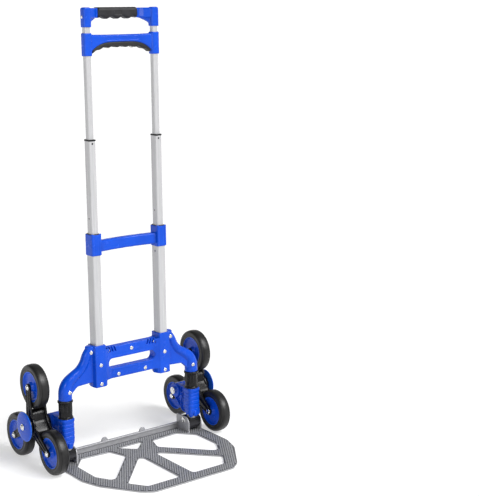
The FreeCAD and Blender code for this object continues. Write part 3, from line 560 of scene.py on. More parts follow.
def base_solids(face):
    """The solids of one shell of the base, which lies towards face (-1 is the front)."""
    arm = rounded([(90.0, 258.0), (110.0, 258.0), (122.0, 231.0), (160.0, 202.0), (182.0, 178.0),
                   (184.0, 156.0), (157.0, 156.0), (156.0, 164.0), (141.0, 178.0), (90.0, 181.0)],
                  [2.0, 9.0, 22.0, 18.0, 12.0, 2.0, 2.0, 8.0, 12.0, 2.0])
    solids = []
    for side in (1, -1):
        solids.append(slab([to_side(arm, side)], 0.0, WEB_DEEP * face, "Y", 0.5))
        path = [(x * side, z, y, r) for x, z, y, r in ARM_PATH]
        solids.append(sweep(path, 36))
        solids.append(lathe([(252.0, 0.0), (252.0, 10.4), (262.5, 10.4), (264.2, 8.0), (264.4, 0.0)],
                            (104.5 * side, 0.0, 0.0), "Z", 36))
        x0, x1 = MAST_X - 13.5, MAST_X + 13.5
        socket = [(x0 - 0.5, 0.0), (x0, SOCKET_DEEP), (x1, SOCKET_DEEP), (x1 + 3.0, WEB_DEEP),
                  (x1 + 3.0, 0.0)]
        fairing = [(53.0, 0.0), (53.0, BEAM_DEEP - 0.5), (x0 + 1.0, SOCKET_DEEP - 0.4), (x0 + 2.0, 0.0)]
        foot = [(64.0, 0.0), (68.0, 12.0), (x0 + 1.0, SOCKET_DEEP - 0.6), (x0 + 4.0, 0.0)]
        for loop, low, high, edge in ((socket, SOCKET_LOW, SOCKET_TOP, 1.2),
                                      (fairing, BEAM_LOW + 0.5, BEAM_TOP - 1.0, 0.5),
                                      (foot, SOCKET_LOW + 0.6, 186.0, 0.8)):
            solids.append(slab([[(u * side, v * face) for u, v in loop]], low, high, "Z", edge))
    beam = rectangle(-MAST_X, MAST_X, BEAM_LOW, BEAM_TOP, 1.0)
    solids.insert(0, slab([beam], 0.0, BEAM_DEEP * face, "Y", 2.0, 3))
    lip_half, lip_rad = SLOT_HALF + 5.5, SLOT_RAD + 5.0
    lip = rectangle(-lip_half, lip_half, SLOT_Z - lip_rad, SLOT_Z + lip_rad, lip_rad, 10)
    solids.append(slab([lip], 0.0, (BEAM_DEEP + 1.0) * face, "Y", 1.0, 3))
    return solids


def tube_bore(side, half_w, half_d, low, high, corner):
    """The bore for one side's tubes in a moulding that clasps the mast."""
    x = MAST_X * side
    return block((x - half_w, x + half_w), (-half_d, half_d), (low, high), 0.1, corner)


def base_cutters(face):
    """The hand slot, the notches of the front, the bores, and the other half of the space."""
    hand = rectangle(-SLOT_HALF, SLOT_HALF, SLOT_Z - SLOT_RAD, SLOT_Z + SLOT_RAD, SLOT_RAD, 10)
    cutters = [slab([hand], -30.0, 30.0, "Y", 0.1)]
    for side in (1, -1):
        if face < 0:
            for i in range(4):
                u = 40.0 + 7 * i
                notch = [(u, 242.0), (u + 3.4, 242.0), (u + 8.4, 257.0), (u + 5.0, 257.0)]
                cutters.append(slab([to_side(notch, side)], -12.0, -3.0, "Y", 0.1))
        cutters.append(tube_bore(side, 10.3, 13.6, 184.0, 270.0, 2.4))
        cutters.append(rod(150.0, POST_TOP + 1, POST_BORE + 0.1, (POST_X * side, 0.0, 0.0), "Z", 40))
    cutters.append(block((-220.0, 220.0), (0.12 * face, -40.0 * face), (140.0, 280.0), 0.05, 0.1))
    return cutters


def build_base():
    for label, face in (("base_front_shell", -1), ("base_rear_shell", 1)):
        mesh = blended(label, base_solids(face), base_cutters(face), 0.95, 3, 0.45)
        piece(label.replace("base", "moulding"), mesh, BLUE, "frame", [label], 60.0)
    half = [(106.0, 250.5, 10.6), (62.6, 247.0, BEAM_DEEP + 0.6), (35.7, 188.1, BEAM_DEEP),
            (MAST_X, 175.5, SOCKET_DEEP), (MAST_X, 219.0, SOCKET_DEEP), (166.1, 171.4, 14.8)]
    places = [(0.0, 242.0, BEAM_DEEP)]
    for x, z, front in half:
        places += [(x, z, front), (-x, z, front)]
    heads = []
    for x, z, front in places:
        heads.append(cross_head((x, -front, z), "Y", -1, 4.3, 1.7, 1.8, 2.2))
    piece("base_screw_heads", heads, STEEL, "frame", ["base_screws"])


# ---------------------------------------------------------------- posts, sleeves and brackets

SLEEVE_RIBS = 12
BAND_LEVELS = (62.0, 72.0, 82.0, 92.0, 100.0)


def build_sleeves():
    for name, side in SIDES:
        low, high = size_of("sleeve_" + name)
        lower = [(0.0, POST_BORE), (0.0, 15.6), (0.8, 16.5), (3.2, 16.5), (4.2, 15.4), (5.0, 14.9),
                 (14.0, 14.8), (14.4, 15.2), (15.6, 15.2), (16.0, 14.8)]
        upper = [(6.2, 14.9), (5.2, 15.4), (4.4, 16.8), (3.4, 17.3), (1.0, 17.3), (0.1, 16.5),
                 (0.1, POST_BORE)]
        profile = [(low.z + z, r) for z, r in lower] + [(high.z - z, r) for z, r in upper]
        shells = [lathe(profile, (POST_X * side, 0.0, 0.0), "Z", 72)]
        for k in range(SLEEVE_RIBS):
            turn = 2 * math.pi * (k + 0.5) / SLEEVE_RIBS
            x, y = POST_X * side + 14.9 * math.cos(turn), 14.9 * math.sin(turn)
            shells.append(slab([circle(x, y, 0.7, 10)], low.z + 17.0, high.z - 6.5, "Z", 0.3))
        piece("post_sleeve_" + name, shells, BLACK, "frame", ["sleeve_" + name], 40.0)


def bracket_solids(side):
    """The clamp body with its bands, the ribbed web with its outboard skin, and the axle's boss."""
    x = POST_X * side
    half, deep = 15.6, 15.2
    rings = []
    levels = [(38.7, -3.4), (39.6, -2.4), (47.0, -1.9), (52.0, -1.2)]
    for z in BAND_LEVELS:
        levels += [(z - 1.6, -0.1), (z - 0.7, -0.9), (z + 0.5, -0.9), (z + 1.3, -0.1)]
    levels += [(103.8, -0.1), (104.6, 0.8), (109.8, 0.8), (110.8, 0.1)]
    for z, grow in levels:
        slim = max(0.0, (56.0 - z) / 18.0)
        w, d = half + grow - 1.6 * slim, deep + grow - 1.4 * slim
        rings.append([(x + u, v, z) for u, v in rectangle(-w, w, -d, d, 8.0 + grow + 3.0 * slim, 6)])
    solids = [loft(rings)]
    out = 11.0
    web = rounded([(0.0, 109.0), (0.0, 46.5), (25.0, 47.5), (AXLE_Y + 11, AXLE_Z - 16),
                   (AXLE_Y, AXLE_Z + 16.5)], [0.0, 0.0, 5.0, 12.0, 12.0])
    inner = offset(turned(web, True), 3.2)
    solids.append(slab([web], x - 6.5 * side, x + 2.0 * side, "X", 0.5))
    solids.append(slab([web, inner], x - out, x + out, "X", 0.8))
    solids.append(slab([web], x + 8.0 * side, x + 11.4 * side, "X", 0.8))
    for z in (70.0, 80.0, 90.0, 99.0):
        far = AXLE_Y - 14.0 if z > 75 else 24.0
        band = pill((10.0, z - 0.6), 1.9, (far, z + 0.8), 1.9, 5)
        solids.append(slab([band], x + 9.0 * side, x + 12.2 * side, "X", 0.7))
    for a, b in (((8.0, 55.0), (AXLE_Y - 6, AXLE_Z + 12)), ((8.0, 104.0), (AXLE_Y + 2, AXLE_Z - 16)),
                 ((20.0, 53.0), (20.0, 108.0)), ((30.0, 56.0), (30.0, 104.0))):
        solids.append(slab([pill(a, 1.3, b, 1.3, 4)], x - (out - 0.4) * side, x, "X", 0.4))
    boss = [(155.5, 0.0), (155.5, 15.5), (156.5, 16.8), (188.0, 16.8), (188.9, 16.0), (188.9, 0.0)]
    solids.append(lathe(to_side(boss, side), AXLE_LINE, "X", 48))
    lug_x = ((POST_X + 6) * side, FOOT_OUT * side)
    solids.append(block(lug_x, (-13.5, 4.0), (43.0, 60.0), 2.4, 3.5))
    solids.append(block((x - 5.0, x + 5.0), (-17.4, -6.0), (43.0, 57.0), 2.0, 3.0))
    return solids


def build_brackets():
    for name, side in SIDES:
        bore = rod(30.0, 120.0, POST_BORE, (POST_X * side, 0.0, 0.0), "Z", 40)
        axle = rod(140.0 * side, 200.0 * side, AXLE_BORE, AXLE_LINE, "X", 32)
        seam = block(((POST_X - 15) * side, (POST_X - 19) * side), (-0.5, 0.5), (36.0, 104.0), 0.1, 0.1)
        mesh = blended("bracket", bracket_solids(side), [bore, axle, seam], 0.6, 2, 0.35)
        piece("axle_bracket_" + name, mesh, BLUE, "frame", ["bracket_" + name], 60.0)


# ---------------------------------------------------------------- toe plate

PLATE_LOW, PLATE_HIGH = size_of("toe_plate")
PLATE_HALF, PLATE_FRONT, PLATE_REAR = PLATE_HIGH.x, PLATE_LOW.y, PLATE_HIGH.y
PLATE_THICK = 4.0
TREAD_HIGH, TREAD_PITCH, TREAD_LENGTH = 0.5, 5.9, 9.4
HINGE_Y, HINGE_Z = 8.0, 31.5
EAR_IN, EAR_OUT, EAR_THICK = 151.5, FOOT_OUT + 0.5, 3.0


def plate_loops():
    """The plate's outline and its five openings."""
    half = [(PLATE_HALF, PLATE_REAR, 0.0), (PLATE_HALF, -106.0, 40.0), (181.0, -153.0, 60.0),
            (128.0, -232.0, 25.0), (104.0, PLATE_FRONT, 25.0)]
    corners = [(x, y) for x, y, _ in half] + [(-x, y) for x, y, _ in reversed(half)]
    radii = [r for _, _, r in half] + [r for _, _, r in reversed(half)]
    loops = [turned(rounded(corners, radii, 10), True)]
    for side in (1, -1):
        side_gap = [(58.0, 4.0), (130.0, 9.0), (163.0, -30.0), (163.0, -106.0), (139.0, -149.0),
                    (43.0, -41.0)]
        front_gap = [(17.0, -57.0), (127.0, -180.0), (101.0, -219.0), (17.0, -219.0)]
        for gap, radius in ((side_gap, 11.0), (front_gap, 9.0)):
            loops.append(turned(rounded(to_side(gap, side), radius, 8), False))
    loops.append(turned(rounded([(-37.0, 13.0), (37.0, 13.0), (0.0, -24.0)], 4.0, 6), False))
    return loops


def inside(loops, x, y, margin):
    """Whether a point of the plate is at least margin away from every edge."""
    crossings = 0
    for loop in loops:
        for i, (bx, by) in enumerate(loop):
            ax, ay = loop[i - 1]
            if (ay > y) != (by > y) and x < ax + (y - ay) * (bx - ax) / (by - ay):
                crossings += 1
            dx, dy = bx - ax, by - ay
            t = max(0.0, min(1.0, ((x - ax) * dx + (y - ay) * dy) / (dx * dx + dy * dy + 1e-9)))
            if (x - ax - t * dx) ** 2 + (y - ay - t * dy) ** 2 < margin * margin:
                return False
    return crossings % 2 == 1


def tread(loops, level, high):
    """Rows of small raised diamonds on the plate's upper face."""
    points, faces = [], []
    rows = int((PLATE_REAR - PLATE_FRONT) / (TREAD_LENGTH * 0.5))
    columns = int(2 * PLATE_HALF / TREAD_PITCH) + 2
    for j in range(rows):
        y = PLATE_FRONT + TREAD_LENGTH * 0.5 * j
        for i in range(columns):
            x = -PLATE_HALF + TREAD_PITCH * (i + 0.5 * (j % 2))
            if y > PLATE_REAR - 6.5 or not inside(loops, x, y, 2.2):
                continue
            first = len(points)
            for z, grow in ((level, 1.0), (level + high, 0.6)):
                a, b = TREAD_PITCH * 0.36 * grow, TREAD_LENGTH * 0.36 * grow
                points += [(x - a, y, z), (x, y - b, z), (x + a, y, z), (x, y + b, z)]
            faces.append(tuple(first + 4 + k for k in range(4)))
            faces.append(tuple(first + 3 - k for k in range(4)))
            faces += band(first, 4)
    return points, faces


def build_toe_plate():
    loops = plate_loops()
    # A thin dark sheet over the plate's upper face between the diamonds: painted shade.
    ground = [slab(loops, PLATE_THICK - 0.6, PLATE_THICK, "Z", 0.5, 2)]
    shells = [slab(loops, 1.2, PLATE_THICK - 0.5, "Z", 0.5, 2)]
    for i, loop in enumerate(loops):
        rim = [loop, offset(loop, 2.6)] if i == 0 else [offset(loop, 2.6), loop]
        shells.append(slab(rim, 0.0, 2.0, "Z", 0.3))
    # The diamonds take a lighter colour than the plate: a painted highlight on their tops.
    diamonds = [tread(loops, PLATE_THICK - 0.15, TREAD_HIGH + 0.15)]
    flange = PLATE_REAR - 3.0
    shells.append(slab([rectangle(-EAR_OUT, EAR_OUT, 0.4, 19.0, 0.6)], flange, PLATE_REAR, "Y", 0.8, 3))
    lip = rectangle(0.5 - EAR_IN, EAR_IN - 0.5, flange - 3.4, PLATE_REAR, 1.2)
    shells.append(slab([lip], 14.6, 19.4, "Z", 1.4, 3))
    for side in (1, -1):
        tab = [(61.0, 16.0), (59.5, 24.0), (55.0, 28.0), (49.0, 28.0), (44.5, 24.0), (43.0, 16.0)]
        tab = rounded(tab, [0.0, 4.0, 5.0, 5.0, 4.0, 0.0])
        fillet = [(68.0, 18.4), (61.0, 19.0), (59.6, 23.0), (44.4, 23.0), (43.0, 19.0), (36.0, 18.4),
                  (44.0, 15.0), (60.0, 15.0)]
        shells.append(slab([to_side(tab, side)], flange, PLATE_REAR, "Y", 0.9, 3))
        fillet = to_side(rounded(fillet, 2.0, 4), side)
        shells.append(slab([fillet], flange + 0.1, PLATE_REAR - 0.1, "Y", 0.4))
        for inner in (EAR_IN, EAR_OUT):
            ear = rounded([(-13.0, 1.0), (PLATE_REAR, 1.0), (PLATE_REAR, 40.5), (-13.0, 40.5)],
                          [0.0, 0.0, 3.0, 16.0], 10)
            hole = circle(HINGE_Y, HINGE_Z, 4.1, 24)
            shells.append(slab([ear, hole], inner * side, (inner + EAR_THICK) * side, "X", 0.7, 3))
            rear = PLATE_REAR - 1
            foot = rounded([(-13.5, 2.0), (rear, 2.0), (rear, 7.0), (-13.5, 6.0)], 1.0, 3)
            shells.append(slab([foot], (inner - 0.8) * side, (inner + EAR_THICK + 0.8) * side, "X", 0.6))
    piece("folding_toe_plate", shells, FLANGE, "folding_plate", ["toe_plate"])
    # The dark sheet between the diamonds is painted shade.
    piece("plate_tread_ground_painted_shade", ground, PLATE_SHADED, "folding_plate", [])
    # The lighter diamond tops carry a painted highlight.
    piece("plate_tread", diamonds, TREAD_PAINTED_LIGHT, "folding_plate", [])


def build_hinge_pins():
    shells = []
    for side in (1, -1):
        pin_end = 189.8 * side
        shells.append(rod(151.0 * side, pin_end, 4.0, (0.0, HINGE_Y, HINGE_Z), "X", 28))
        shells.append(cross_head((151.2 * side, HINGE_Y, HINGE_Z), "X", -side, 6.3, 2.3, 4.0, 2.0))
        shells.append(hex_nut((pin_end, HINGE_Y, HINGE_Z), "X", side, 6.0, 2.2))
    piece("hinge_screws", shells, STEEL, body_of("hinge_pins"), ["hinge_pins"])


def body_of(node):
    """The body that a CAD node belongs to."""
    for name, body in frame["bodies"].items():
        if frame["nodes"][node].parent == body:
            return name
    return "frame"


# ---------------------------------------------------------------- wheel clusters

RIM_RAD = 34.0
LEG_IN, LEG_OUT, LEG_THICK = 200.0, 231.5, 4.5
CAP_FACE, CAP_RAD = 246.0, 33.4


def both_ways(half):
    """A profile from its outer half, mirrored to the inner half."""
    return half + [(-a, r) for a, r in reversed(half)]


def build_wheel(name, side, wheel):
    centre = middle_of(f"wheel_{name}_{wheel}")
    body = f"wheel_{'left' if side < 0 else 'right'}_{wheel}"
    tyre = both_ways([(11.5, RIM_RAD), (12.3, 34.6), (12.5, 35.4), (12.5, 37.4), (12.0, 37.9),
                      (12.0, 38.8), (12.5, 39.4), (12.5, 43.2), (12.2, 45.4), (11.4, 47.0), (10.2, 48.2),
                      (8.9, 48.9), (8.2, 49.0), (7.9, 48.4), (7.3, 48.4), (7.0, 49.3), (4.0, 49.8),
                      (0.6, 50.0)])
    shells = [lathe(tyre, centre, "X", 112)]
    piece(f"rubber_tyre_{name}_{wheel}", shells, TYRE, body, [f"tyre_{name}_{wheel}"], 50.0)

    disc = both_ways([(12.4, 4.2), (12.4, 8.2), (12.0, 9.0), (8.2, 10.0), (7.2, 11.2), (6.9, 14.0),
                      (6.6, 19.0), (6.6, 26.0), (7.2, 29.4), (9.6, 31.2), (11.3, 31.8), (11.4, 33.2),
                      (11.4, 33.95)])
    shells = [lathe(disc, centre, "X", 96)]
    piece(f"wheel_disc_{name}_{wheel}", shells, BLUE, body, [f"wheel_{name}_{wheel}"], 50.0)


def spider_parts(side, centres):
    """The two three-legged plates of a cluster with their ribs, and the barrel between them."""
    hub = (AXLE_Y, AXLE_Z)
    barrel = [(190.3, 0.0), (190.3, 16.0), (191.3, 17.0), (200.5, 17.0), (202.0, 21.0), (233.0, 21.0),
              (235.0, 18.0), (245.6, 17.0), (245.6, 0.0)]
    solids = [lathe(to_side(barrel, side), AXLE_LINE, "X", 56)]
    for face, root, disc, skin in ((LEG_IN, 25.0, 30.0, (1.6, 0.3)), (LEG_OUT, 13.0, 25.0, (0.3, 1.8))):
        skin = ((face + skin[0]) * side, (face + LEG_THICK - skin[1]) * side)
        whole = (face * side, (face + LEG_THICK) * side)
        solids.append(slab([circle(*hub, disc, 56)], *whole, "X", 0.8))
        for y, z in centres:
            leg = pill(hub, root, (y, z), 8.3)
            solids.append(slab([leg], *skin, "X", 0.4))
            solids.append(slab([leg, offset(turned(leg, True), 2.2)], *whole, "X", 0.7))
            solids.append(slab([pill(hub, 2.0, (y, z), 1.3, 6)], *whole, "X", 0.5))
            solids.append(slab([circle(y, z, 8.2, 36)], *whole, "X", 0.6))
    for y, z in centres:
        along = Vector((y - AXLE_Y, z - AXLE_Z)).normalized()
        tip = Vector(hub) + along * 24.0
        solids.append(slab([pill(hub, 20.0, tip, 12.5, 8)], 201.0 * side, 234.0 * side, "X", 1.0))
    return solids


def build_cluster(name, side):
    body = "cluster_" + ("left" if side < 0 else "right")
    centres = []
    for wheel in WHEELS:
        centres.append(tuple(middle_of(f"wheel_{name}_{wheel}").yz))
    bores = [rod(180.0 * side, 260.0 * side, AXLE_BORE, AXLE_LINE, "X", 32)]
    mesh = blended("spider", spider_parts(side, centres), bores, 0.7, 2, 0.35)
    piece("cluster_spider_" + name, mesh, BLACK, body, ["spider_" + name], 60.0)

    cap = [(0.0, 5.5), (0.0, 31.6), (0.7, 33.2), (1.8, CAP_RAD)]
    for k in range(1, 11):
        r = CAP_RAD - k * 2.35
        cap.append((1.9 + 4.0 * math.sqrt(1 - (r / 34.0) ** 2), r))
    cap += [(5.4, 9.2), (5.4, 5.5)]
    cap = [((CAP_FACE + rise) * side, r) for rise, r in cap]
    shells = [lathe(cap, AXLE_LINE, "X", 96)]
    piece("domed_cap_" + name, shells, BLUE, body, ["hub_cap_" + name], 50.0)

    bolts, nuts = [], []
    for y, z in centres:
        seat = (LEG_OUT + LEG_THICK) * side
        bolts.append(button_head((seat, y, z), "X", side, 4.7, 3.4, 4.0, 36.0))
        nuts.append(hex_nut((LEG_IN * side, y, z), "X", -side, 6.4, 2.9))
    start, tip = sorted(abs(corner.x) for corner in size_of("axle_bolt_" + name))
    seat = tip - 3.7
    axle = [button_head((seat * side, AXLE_Y, AXLE_Z), "X", side, 5.8, 3.6, 5.0, seat - start)]
    for label, shells, node in (("wheel_bolt_heads_", bolts, "wheel_bolts_" + name),
                                ("wheel_bolt_nuts_", nuts, "wheel_nuts_" + name),
                                ("cluster_axle_", axle, "axle_bolt_" + name)):
        piece(label + name, shells, STEEL, body_of(node), [node], 40.0)


# ---------------------------------------------------------------- clamp and handles

RIB_SHIFT, RIB_HALF = 9.4, 2.5
CLAMP_BOW = 7.0
RELEASE_WAVE, TOP_WAVE = 22.0, 27.0
ARCH_LOW, ARCH_DROP = 926.2, 23.5
GRIP_SCREW_X, GRIP_SCREW_Y = 30.0, 6.0
LATCH_Z = 549.0


def build_clamp():
    low, high = size_of("mid_clamp")
    half, deep = high.x - MAST_X, high.y
    ends = MAST_X - half + 2

    def bowed(reach, half_d, under, over, corner, steps):
        """A bar across the trolley whose middle bows to the rear."""
        rings = []
        for k in range(25):
            x = reach * (2 * k / 24 - 1)
            bow = CLAMP_BOW * (1 - (x / ends) ** 2)
            rings.append(at(x, rectangle(bow - half_d, bow + half_d, under, over, corner, steps)))
        return loft(rings)

    solids = []
    for side in (1, -1):
        x, front = MAST_X * side, -deep
        solids.append(block((x - half + 0.3, x + half - 0.3), (front + 0.7, deep), (low.z, high.z - 1.6),
                            1.2, 4.0))
        for u in (x - RIB_SHIFT, x + RIB_SHIFT):
            solids.append(block((u - RIB_HALF, u + RIB_HALF), (front, front + 6.0),
                                (low.z + 1.0, high.z - 0.1), 1.0, 1.2))
        solids.append(block((x - 4.6, x + 4.6), (front + 0.3, front + 6.0), (low.z + 2.0, high.z - 4.0),
                            0.8, 1.0))
    solids.append(bowed(ends, 8.0, 472.5, 498.5, 4.5, 5))
    cutters = [tube_bore(side, 10.2, 13.5, 460.0, 520.0, 2.6) for side in (1, -1)]
    cutters.append(bowed(ends - 4, 5.4, 465.0, 487.0, 2.0, 4))
    mesh = blended("clamp", solids, cutters, 0.7, 2, 0.4)
    piece("cross_clamp", mesh, BLUE, "frame", ["mid_clamp"], 60.0)
    heads = [cross_head((MAST_X * side, deep, 490.0), "Y", 1, 3.6, 1.9, 1.8, 2.0) for side in (1, -1)]
    piece("clamp_screw_heads", heads, STEEL, "frame", ["clamp_screws"])


def build_release_handle():
    low, high = size_of("release_handle")
    top, bottom = high.z, low.z

    def arch(k, last, reach):
        """The place of section k of the arch, how far out it is, and how far its foot hangs."""
        x = reach * (2 * k / last - 1)
        return x, abs(x) / reach, ARCH_DROP * (abs(x) / ear) ** 4

    ear = MAST_X - 6.0
    solids = []
    for side in (1, -1):
        x = MAST_X * side
        solids.append(block((x - 9.9, x + 9.9), (-8.9, 8.9), (bottom, top), 2.2, 5.0))
    rings = []
    for k in range(41):
        x, t, drop = arch(k, 40, ear)
        upper = top - 4.2 + 1.2 * t ** 4
        rings.append(at(x, rectangle(-5.2 - 0.8 * t ** 3, 13.0, ARCH_LOW - drop, upper, 4.0, 5)))
    solids.append(loft(rings))
    cutters = [tube_bore(side, 7.1, 7.0, 880.0, 960.0, 2.8) for side in (1, -1)]
    panel = rounded([(-48.0, 936.0), (-40.0, 929.5), (40.0, 929.5), (48.0, 936.0)], 2.5)
    cutters.append(slab([panel], -7.0, -4.4, "Y", 0.1))
    mesh = blended("release_handle", solids, cutters, 0.7, 2, 0.4)
    piece("squeeze_handle", mesh, BLUE, "release_lever", ["release_handle"], 60.0)

    rings = []
    for k in range(121):
        x, t, drop = arch(k, 120, 73.0)
        upper = ARCH_LOW + 0.8 - drop
        wave = 1.5 * (1 - t ** 6) * math.cos(2 * math.pi * x / RELEASE_WAVE)
        lower = upper - 10.6 + 3.6 * t ** 4 + wave
        rings.append(at(x, rectangle(-5.6 + 0.8 * t ** 4, 17.6 - 5.0 * t ** 4, lower, upper, 2.6, 5)))
    cuts = [rod(900.0, 914.0, 3.8, (GRIP_SCREW_X * s, GRIP_SCREW_Y, 0.0), "Z", 24) for s in (1, -1)]
    mesh = blended("release_grip", [loft(rings)], cuts, 0.6, 2, 0.5)
    piece("wavy_release_grip", mesh, GRIP, "release_lever", ["release_grip"], 60.0)
    heads = [cross_head((GRIP_SCREW_X * s, GRIP_SCREW_Y, 914.2), "Z", -1, 3.5, 1.9, 1.8, 3.0)
             for s in (1, -1)]
    piece("grip_screw_heads", heads, STEEL, "release_lever", ["release_grip_screws"])


def build_top_handle():
    low, high = size_of("top_handle")
    top, bottom = high.z, low.z
    solids = []
    for side in (1, -1):
        x = MAST_X * side
        column = []
        for z, half_w, half_d in ((bottom, 9.4, 8.4), (bottom + 1.2, 9.9, 8.9), (top - 5.0, 9.9, 8.9),
                                  (top - 1.8, 9.3, 8.3), (top - 0.1, 7.2, 6.4)):
            section = rectangle(x - half_w, x + half_w, -half_d, half_d, 5.0, 5)
            column.append([(u, v, z) for u, v in section])
        solids.append(loft(column))
        web = [(93.0, -4.5), (74.0, -4.5), (62.0, 2.0), (54.0, 9.5), (49.0, 11.0), (49.0, 29.0),
               (60.0, 29.8), (76.0, 27.0), (88.0, 16.0), (93.0, 7.5)]
        web = rounded(web, [1.0, 3.0, 9.0, 8.0, 1.0, 1.0, 6.0, 14.0, 10.0, 2.0], 5)
        solids.append(slab([to_side(web, side)], top - 23.0, top - 1.6, "Z", 2.0, 3))
        wall = []
        for k in range(13):
            t = k / 12
            x, y = 79.0 - 29.0 * t, 1.0 + 15.5 * t ** 0.8
            under = 960.0 + 17.0 * min(1.0, 1.25 * t) ** 0.55
            wall.append(at(x * side, rectangle(y - 5.0, y + 5.0, under, 982.0, 1.6, 3)))
        solids.append(loft(wall))
    bar = []
    for k in range(15):
        x = 52.0 * (2 * k / 14 - 1)
        under = top - (22.6 if abs(x) > 45.0 else 18.5)
        bar.append(at(x, rectangle(9.8, 29.2, under, top - 2.4, 5.0, 5)))
    solids.append(loft(bar))
    cutters = [tube_bore(side, 7.0, 6.9, 950.0, top - 6.0, 2.8) for side in (1, -1)]
    mesh = blended("top_handle", solids, cutters, 0.7, 2, 0.4)
    piece("pull_handle", mesh, BLUE, "inner_stage", ["top_handle"], 60.0)

    grip_low, grip_high = size_of("top_grip")
    rings = []
    for k in range(121):
        x = grip_high.x * (2 * k / 120 - 1)
        wave = -2.1 * math.cos(2 * math.pi * x / TOP_WAVE)
        shrink = 2.2 * max(0.0, abs(x) / grip_high.x - 0.94) / 0.06
        under = grip_low.z + 2.1 + wave + shrink
        front, back = grip_low.y + shrink, grip_high.y - shrink
        rings.append(at(x, rectangle(front, back, under, grip_high.z - shrink, 7.0, 7)))
    recess = slab([rectangle(-9.0, 9.0, 983.0, 992.0, 1.2)], 3.0, 7.6, "Y", 0.1)
    mesh = blended("top_grip", [loft(rings)], [recess], 0.6, 2, 0.5)
    piece("soft_top_grip", mesh, GRIP, "inner_stage", ["top_grip"], 60.0)
    rivets = [button_head(((MAST_X + 9.8) * s, 0.0, 980.0), "X", s, 2.6, 1.4, 2.0, 4.0)
              for s in (1, -1)]
    piece("handle_rivets", rivets, STEEL, "inner_stage", ["top_handle_rivets"], 40.0)


def build_collars():
    mid_low, mid_high = size_of("mid_tube_r")
    mid_top, mid_front = mid_high.z, mid_low.y
    shells = []
    for side in (1, -1):
        x = MAST_X * side
        outer = rectangle(x - 9.3, x + 9.3, -11.3, 11.3, 3.6, 6)
        bore = rectangle(x - 7.05, x + 7.05, -6.95, 6.95, 3.0, 6)
        shells.append(slab([outer, bore], mid_top + 0.02, mid_top + 3.6, "Z", 0.9, 3))
        peg = [(0.05, 0.0), (0.05, 1.7), (0.35, 2.1), (1.2, 2.1), (1.2, 0.0)]
        shells.append(lathe([(mid_front + y, r) for y, r in peg], (x, 0.0, mid_top - 5.5), "Y", 24))
    piece("tube_collars", shells, BLACK, "mid_stage", ["mid_collars"])
    half = mid_high.x - MAST_X
    dots = []
    for x in (-MAST_X, MAST_X):
        for out in (-1, 1):
            plug = [(0.03, 0.0), (0.03, 1.7), (-0.15, 1.9), (-0.6, 1.9), (-0.6, 0.0)]
            profile = [(x + (half + rise) * out, r) for rise, r in plug]
            dots.append(lathe(profile, (0.0, 0.0, LATCH_Z), "X", 24))
    piece("latch_hole_plugs", dots, BLACK, "mid_stage", [])


# ---------------------------------------------------------------- build everything

build_base()
build_sleeves()
build_brackets()
build_toe_plate()
build_hinge_pins()
for side_name, side_sign in SIDES:
    build_cluster(side_name, side_sign)
    for wheel_name in WHEELS:
        build_wheel(side_name, side_sign, wheel_name)
build_clamp()
build_release_handle()
build_top_handle()
build_collars()

slot_of = {part["node"]: part["material_slot"] for part in frame["record"]["subparts"]}
for node, thing in frame["nodes"].items():
    thing.data.materials.clear()
    thing.data.materials.append(SLOTS[slot_of[node]])


# ---------------------------------------------------------------- floor, light and camera

FLOOR_RINGS = [(3.0, 0.0), (25.0, 0.0), (32.0, 0.4), (40.0, 1.6), (50.0, 4.2), (62.0, 8.6), (80.0, 17.0)]
FLOOR_TONE, FLOOR_GLOW = 0.60, 0.48


def build_stage():
    """A floor of rings in metres as (radius, height): flat in the middle, and it rises far away."""
    mesh = bpy.data.meshes.new("floor")
    count = 96
    points = [(0.0, 0.0, 0.0)]
    for radius, height in FLOOR_RINGS:
        for k in range(count):
            turn = 2 * math.pi * k / count
            points.append((radius * math.cos(turn), radius * math.sin(turn), height))
    faces = [(0, 1 + k, 1 + (k + 1) % count) for k in range(count)]
    for ring in range(len(FLOOR_RINGS) - 1):
        first = 1 + ring * count
        for k in range(count):
            m = (k + 1) % count
            faces.append((first + k, first + count + k, first + count + m, first + m))
    mesh.from_pydata(points, [], faces)
    floor = placed("floor", mesh)
    material, _, shader = shader_tree("floor")
    shader.inputs["Base Color"].default_value = (FLOOR_TONE, FLOOR_TONE, FLOOR_TONE, 1.0)
    shader.inputs["Roughness"].default_value = 0.9
    shader.inputs["Specular IOR Level"].default_value = 0.0
    shader.inputs["Emission Color"].default_value = (1.0, 1.0, 1.0, 1.0)
    shader.inputs["Emission Strength"].default_value = FLOOR_GLOW
    mesh.materials.append(material)


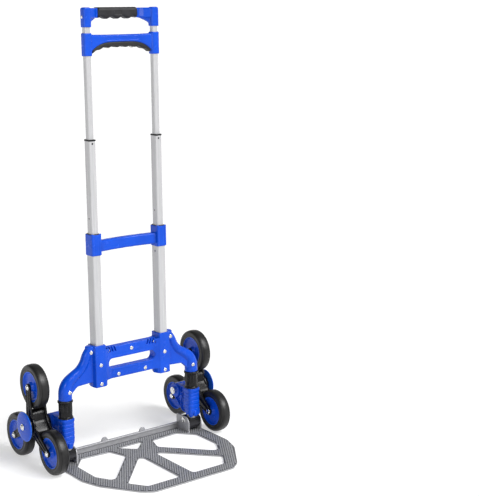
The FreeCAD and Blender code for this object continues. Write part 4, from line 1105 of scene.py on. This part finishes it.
def lamp(name, kind, power, place, way):
    """A lamp at a place, shining along way."""
    light = bpy.data.lights.new(name, kind)
    light.energy = power
    thing = placed(name, light)
    thing.location = place
    thing.rotation_euler = way.to_track_quat("-Z", "Y").to_euler()
    return light


def build_light():
    """A world that is brighter on the right, a soft sun, and a lamp at the left of the front."""
    world = bpy.data.worlds.new("studio")
    world.use_nodes = True
    tree = world.node_tree
    background = tree.nodes["Background"]
    way = tree.nodes.new("ShaderNodeTexCoord")
    split = tree.nodes.new("ShaderNodeSeparateXYZ")
    tree.links.new(way.outputs["Generated"], split.inputs["Vector"])
    ramp = spread(tree, split.outputs["X"], 0.04, 0.42, -0.6, 0.6)
    tree.links.new(ramp, background.inputs["Strength"])
    background.inputs["Color"].default_value = (1.0, 1.0, 1.0, 1.0)
    bpy.context.scene.world = world
    sun = lamp("sun", "SUN", 3.3, (0.0, 0.0, 0.0), Vector((-0.35, 0.80, -0.80)))
    sun.angle = math.radians(35.0)
    place, target = Vector((-1.9, -1.5, 1.3)), Vector((0.0, 0.0, 0.5))
    strip = lamp("strip", "AREA", 16.0, place, target - place)
    strip.shape = "DISK"
    strip.size = 0.7


def build_camera():
    """The camera: its yaw, pitch and roll, its lens and its place."""
    yaw, pitch, roll = math.radians(37.76), math.radians(11.60), math.radians(-0.50)
    ahead = Vector((math.sin(yaw), math.cos(yaw), 0.0)) * math.cos(pitch)
    forward = ahead - Vector((0.0, 0.0, math.sin(pitch)))
    level = Vector((math.cos(yaw), -math.sin(yaw), 0.0))
    rise = level.cross(forward)
    right = level * math.cos(roll) + rise * math.sin(roll)
    up = rise * math.cos(roll) - level * math.sin(roll)
    lens = bpy.data.cameras.new("camera")
    lens.lens = 86.27
    lens.sensor_width = 36.0
    camera = placed("camera", lens)
    turn = Matrix((right, up, -forward)).transposed().to_4x4()
    camera.matrix_world = Matrix.Translation(Vector((-1.39820, -2.179775, 1.00393))) @ turn
    bpy.context.scene.camera = camera


build_stage()
build_light()
build_camera()
bpy.context.scene.view_settings.view_transform = "Standard"
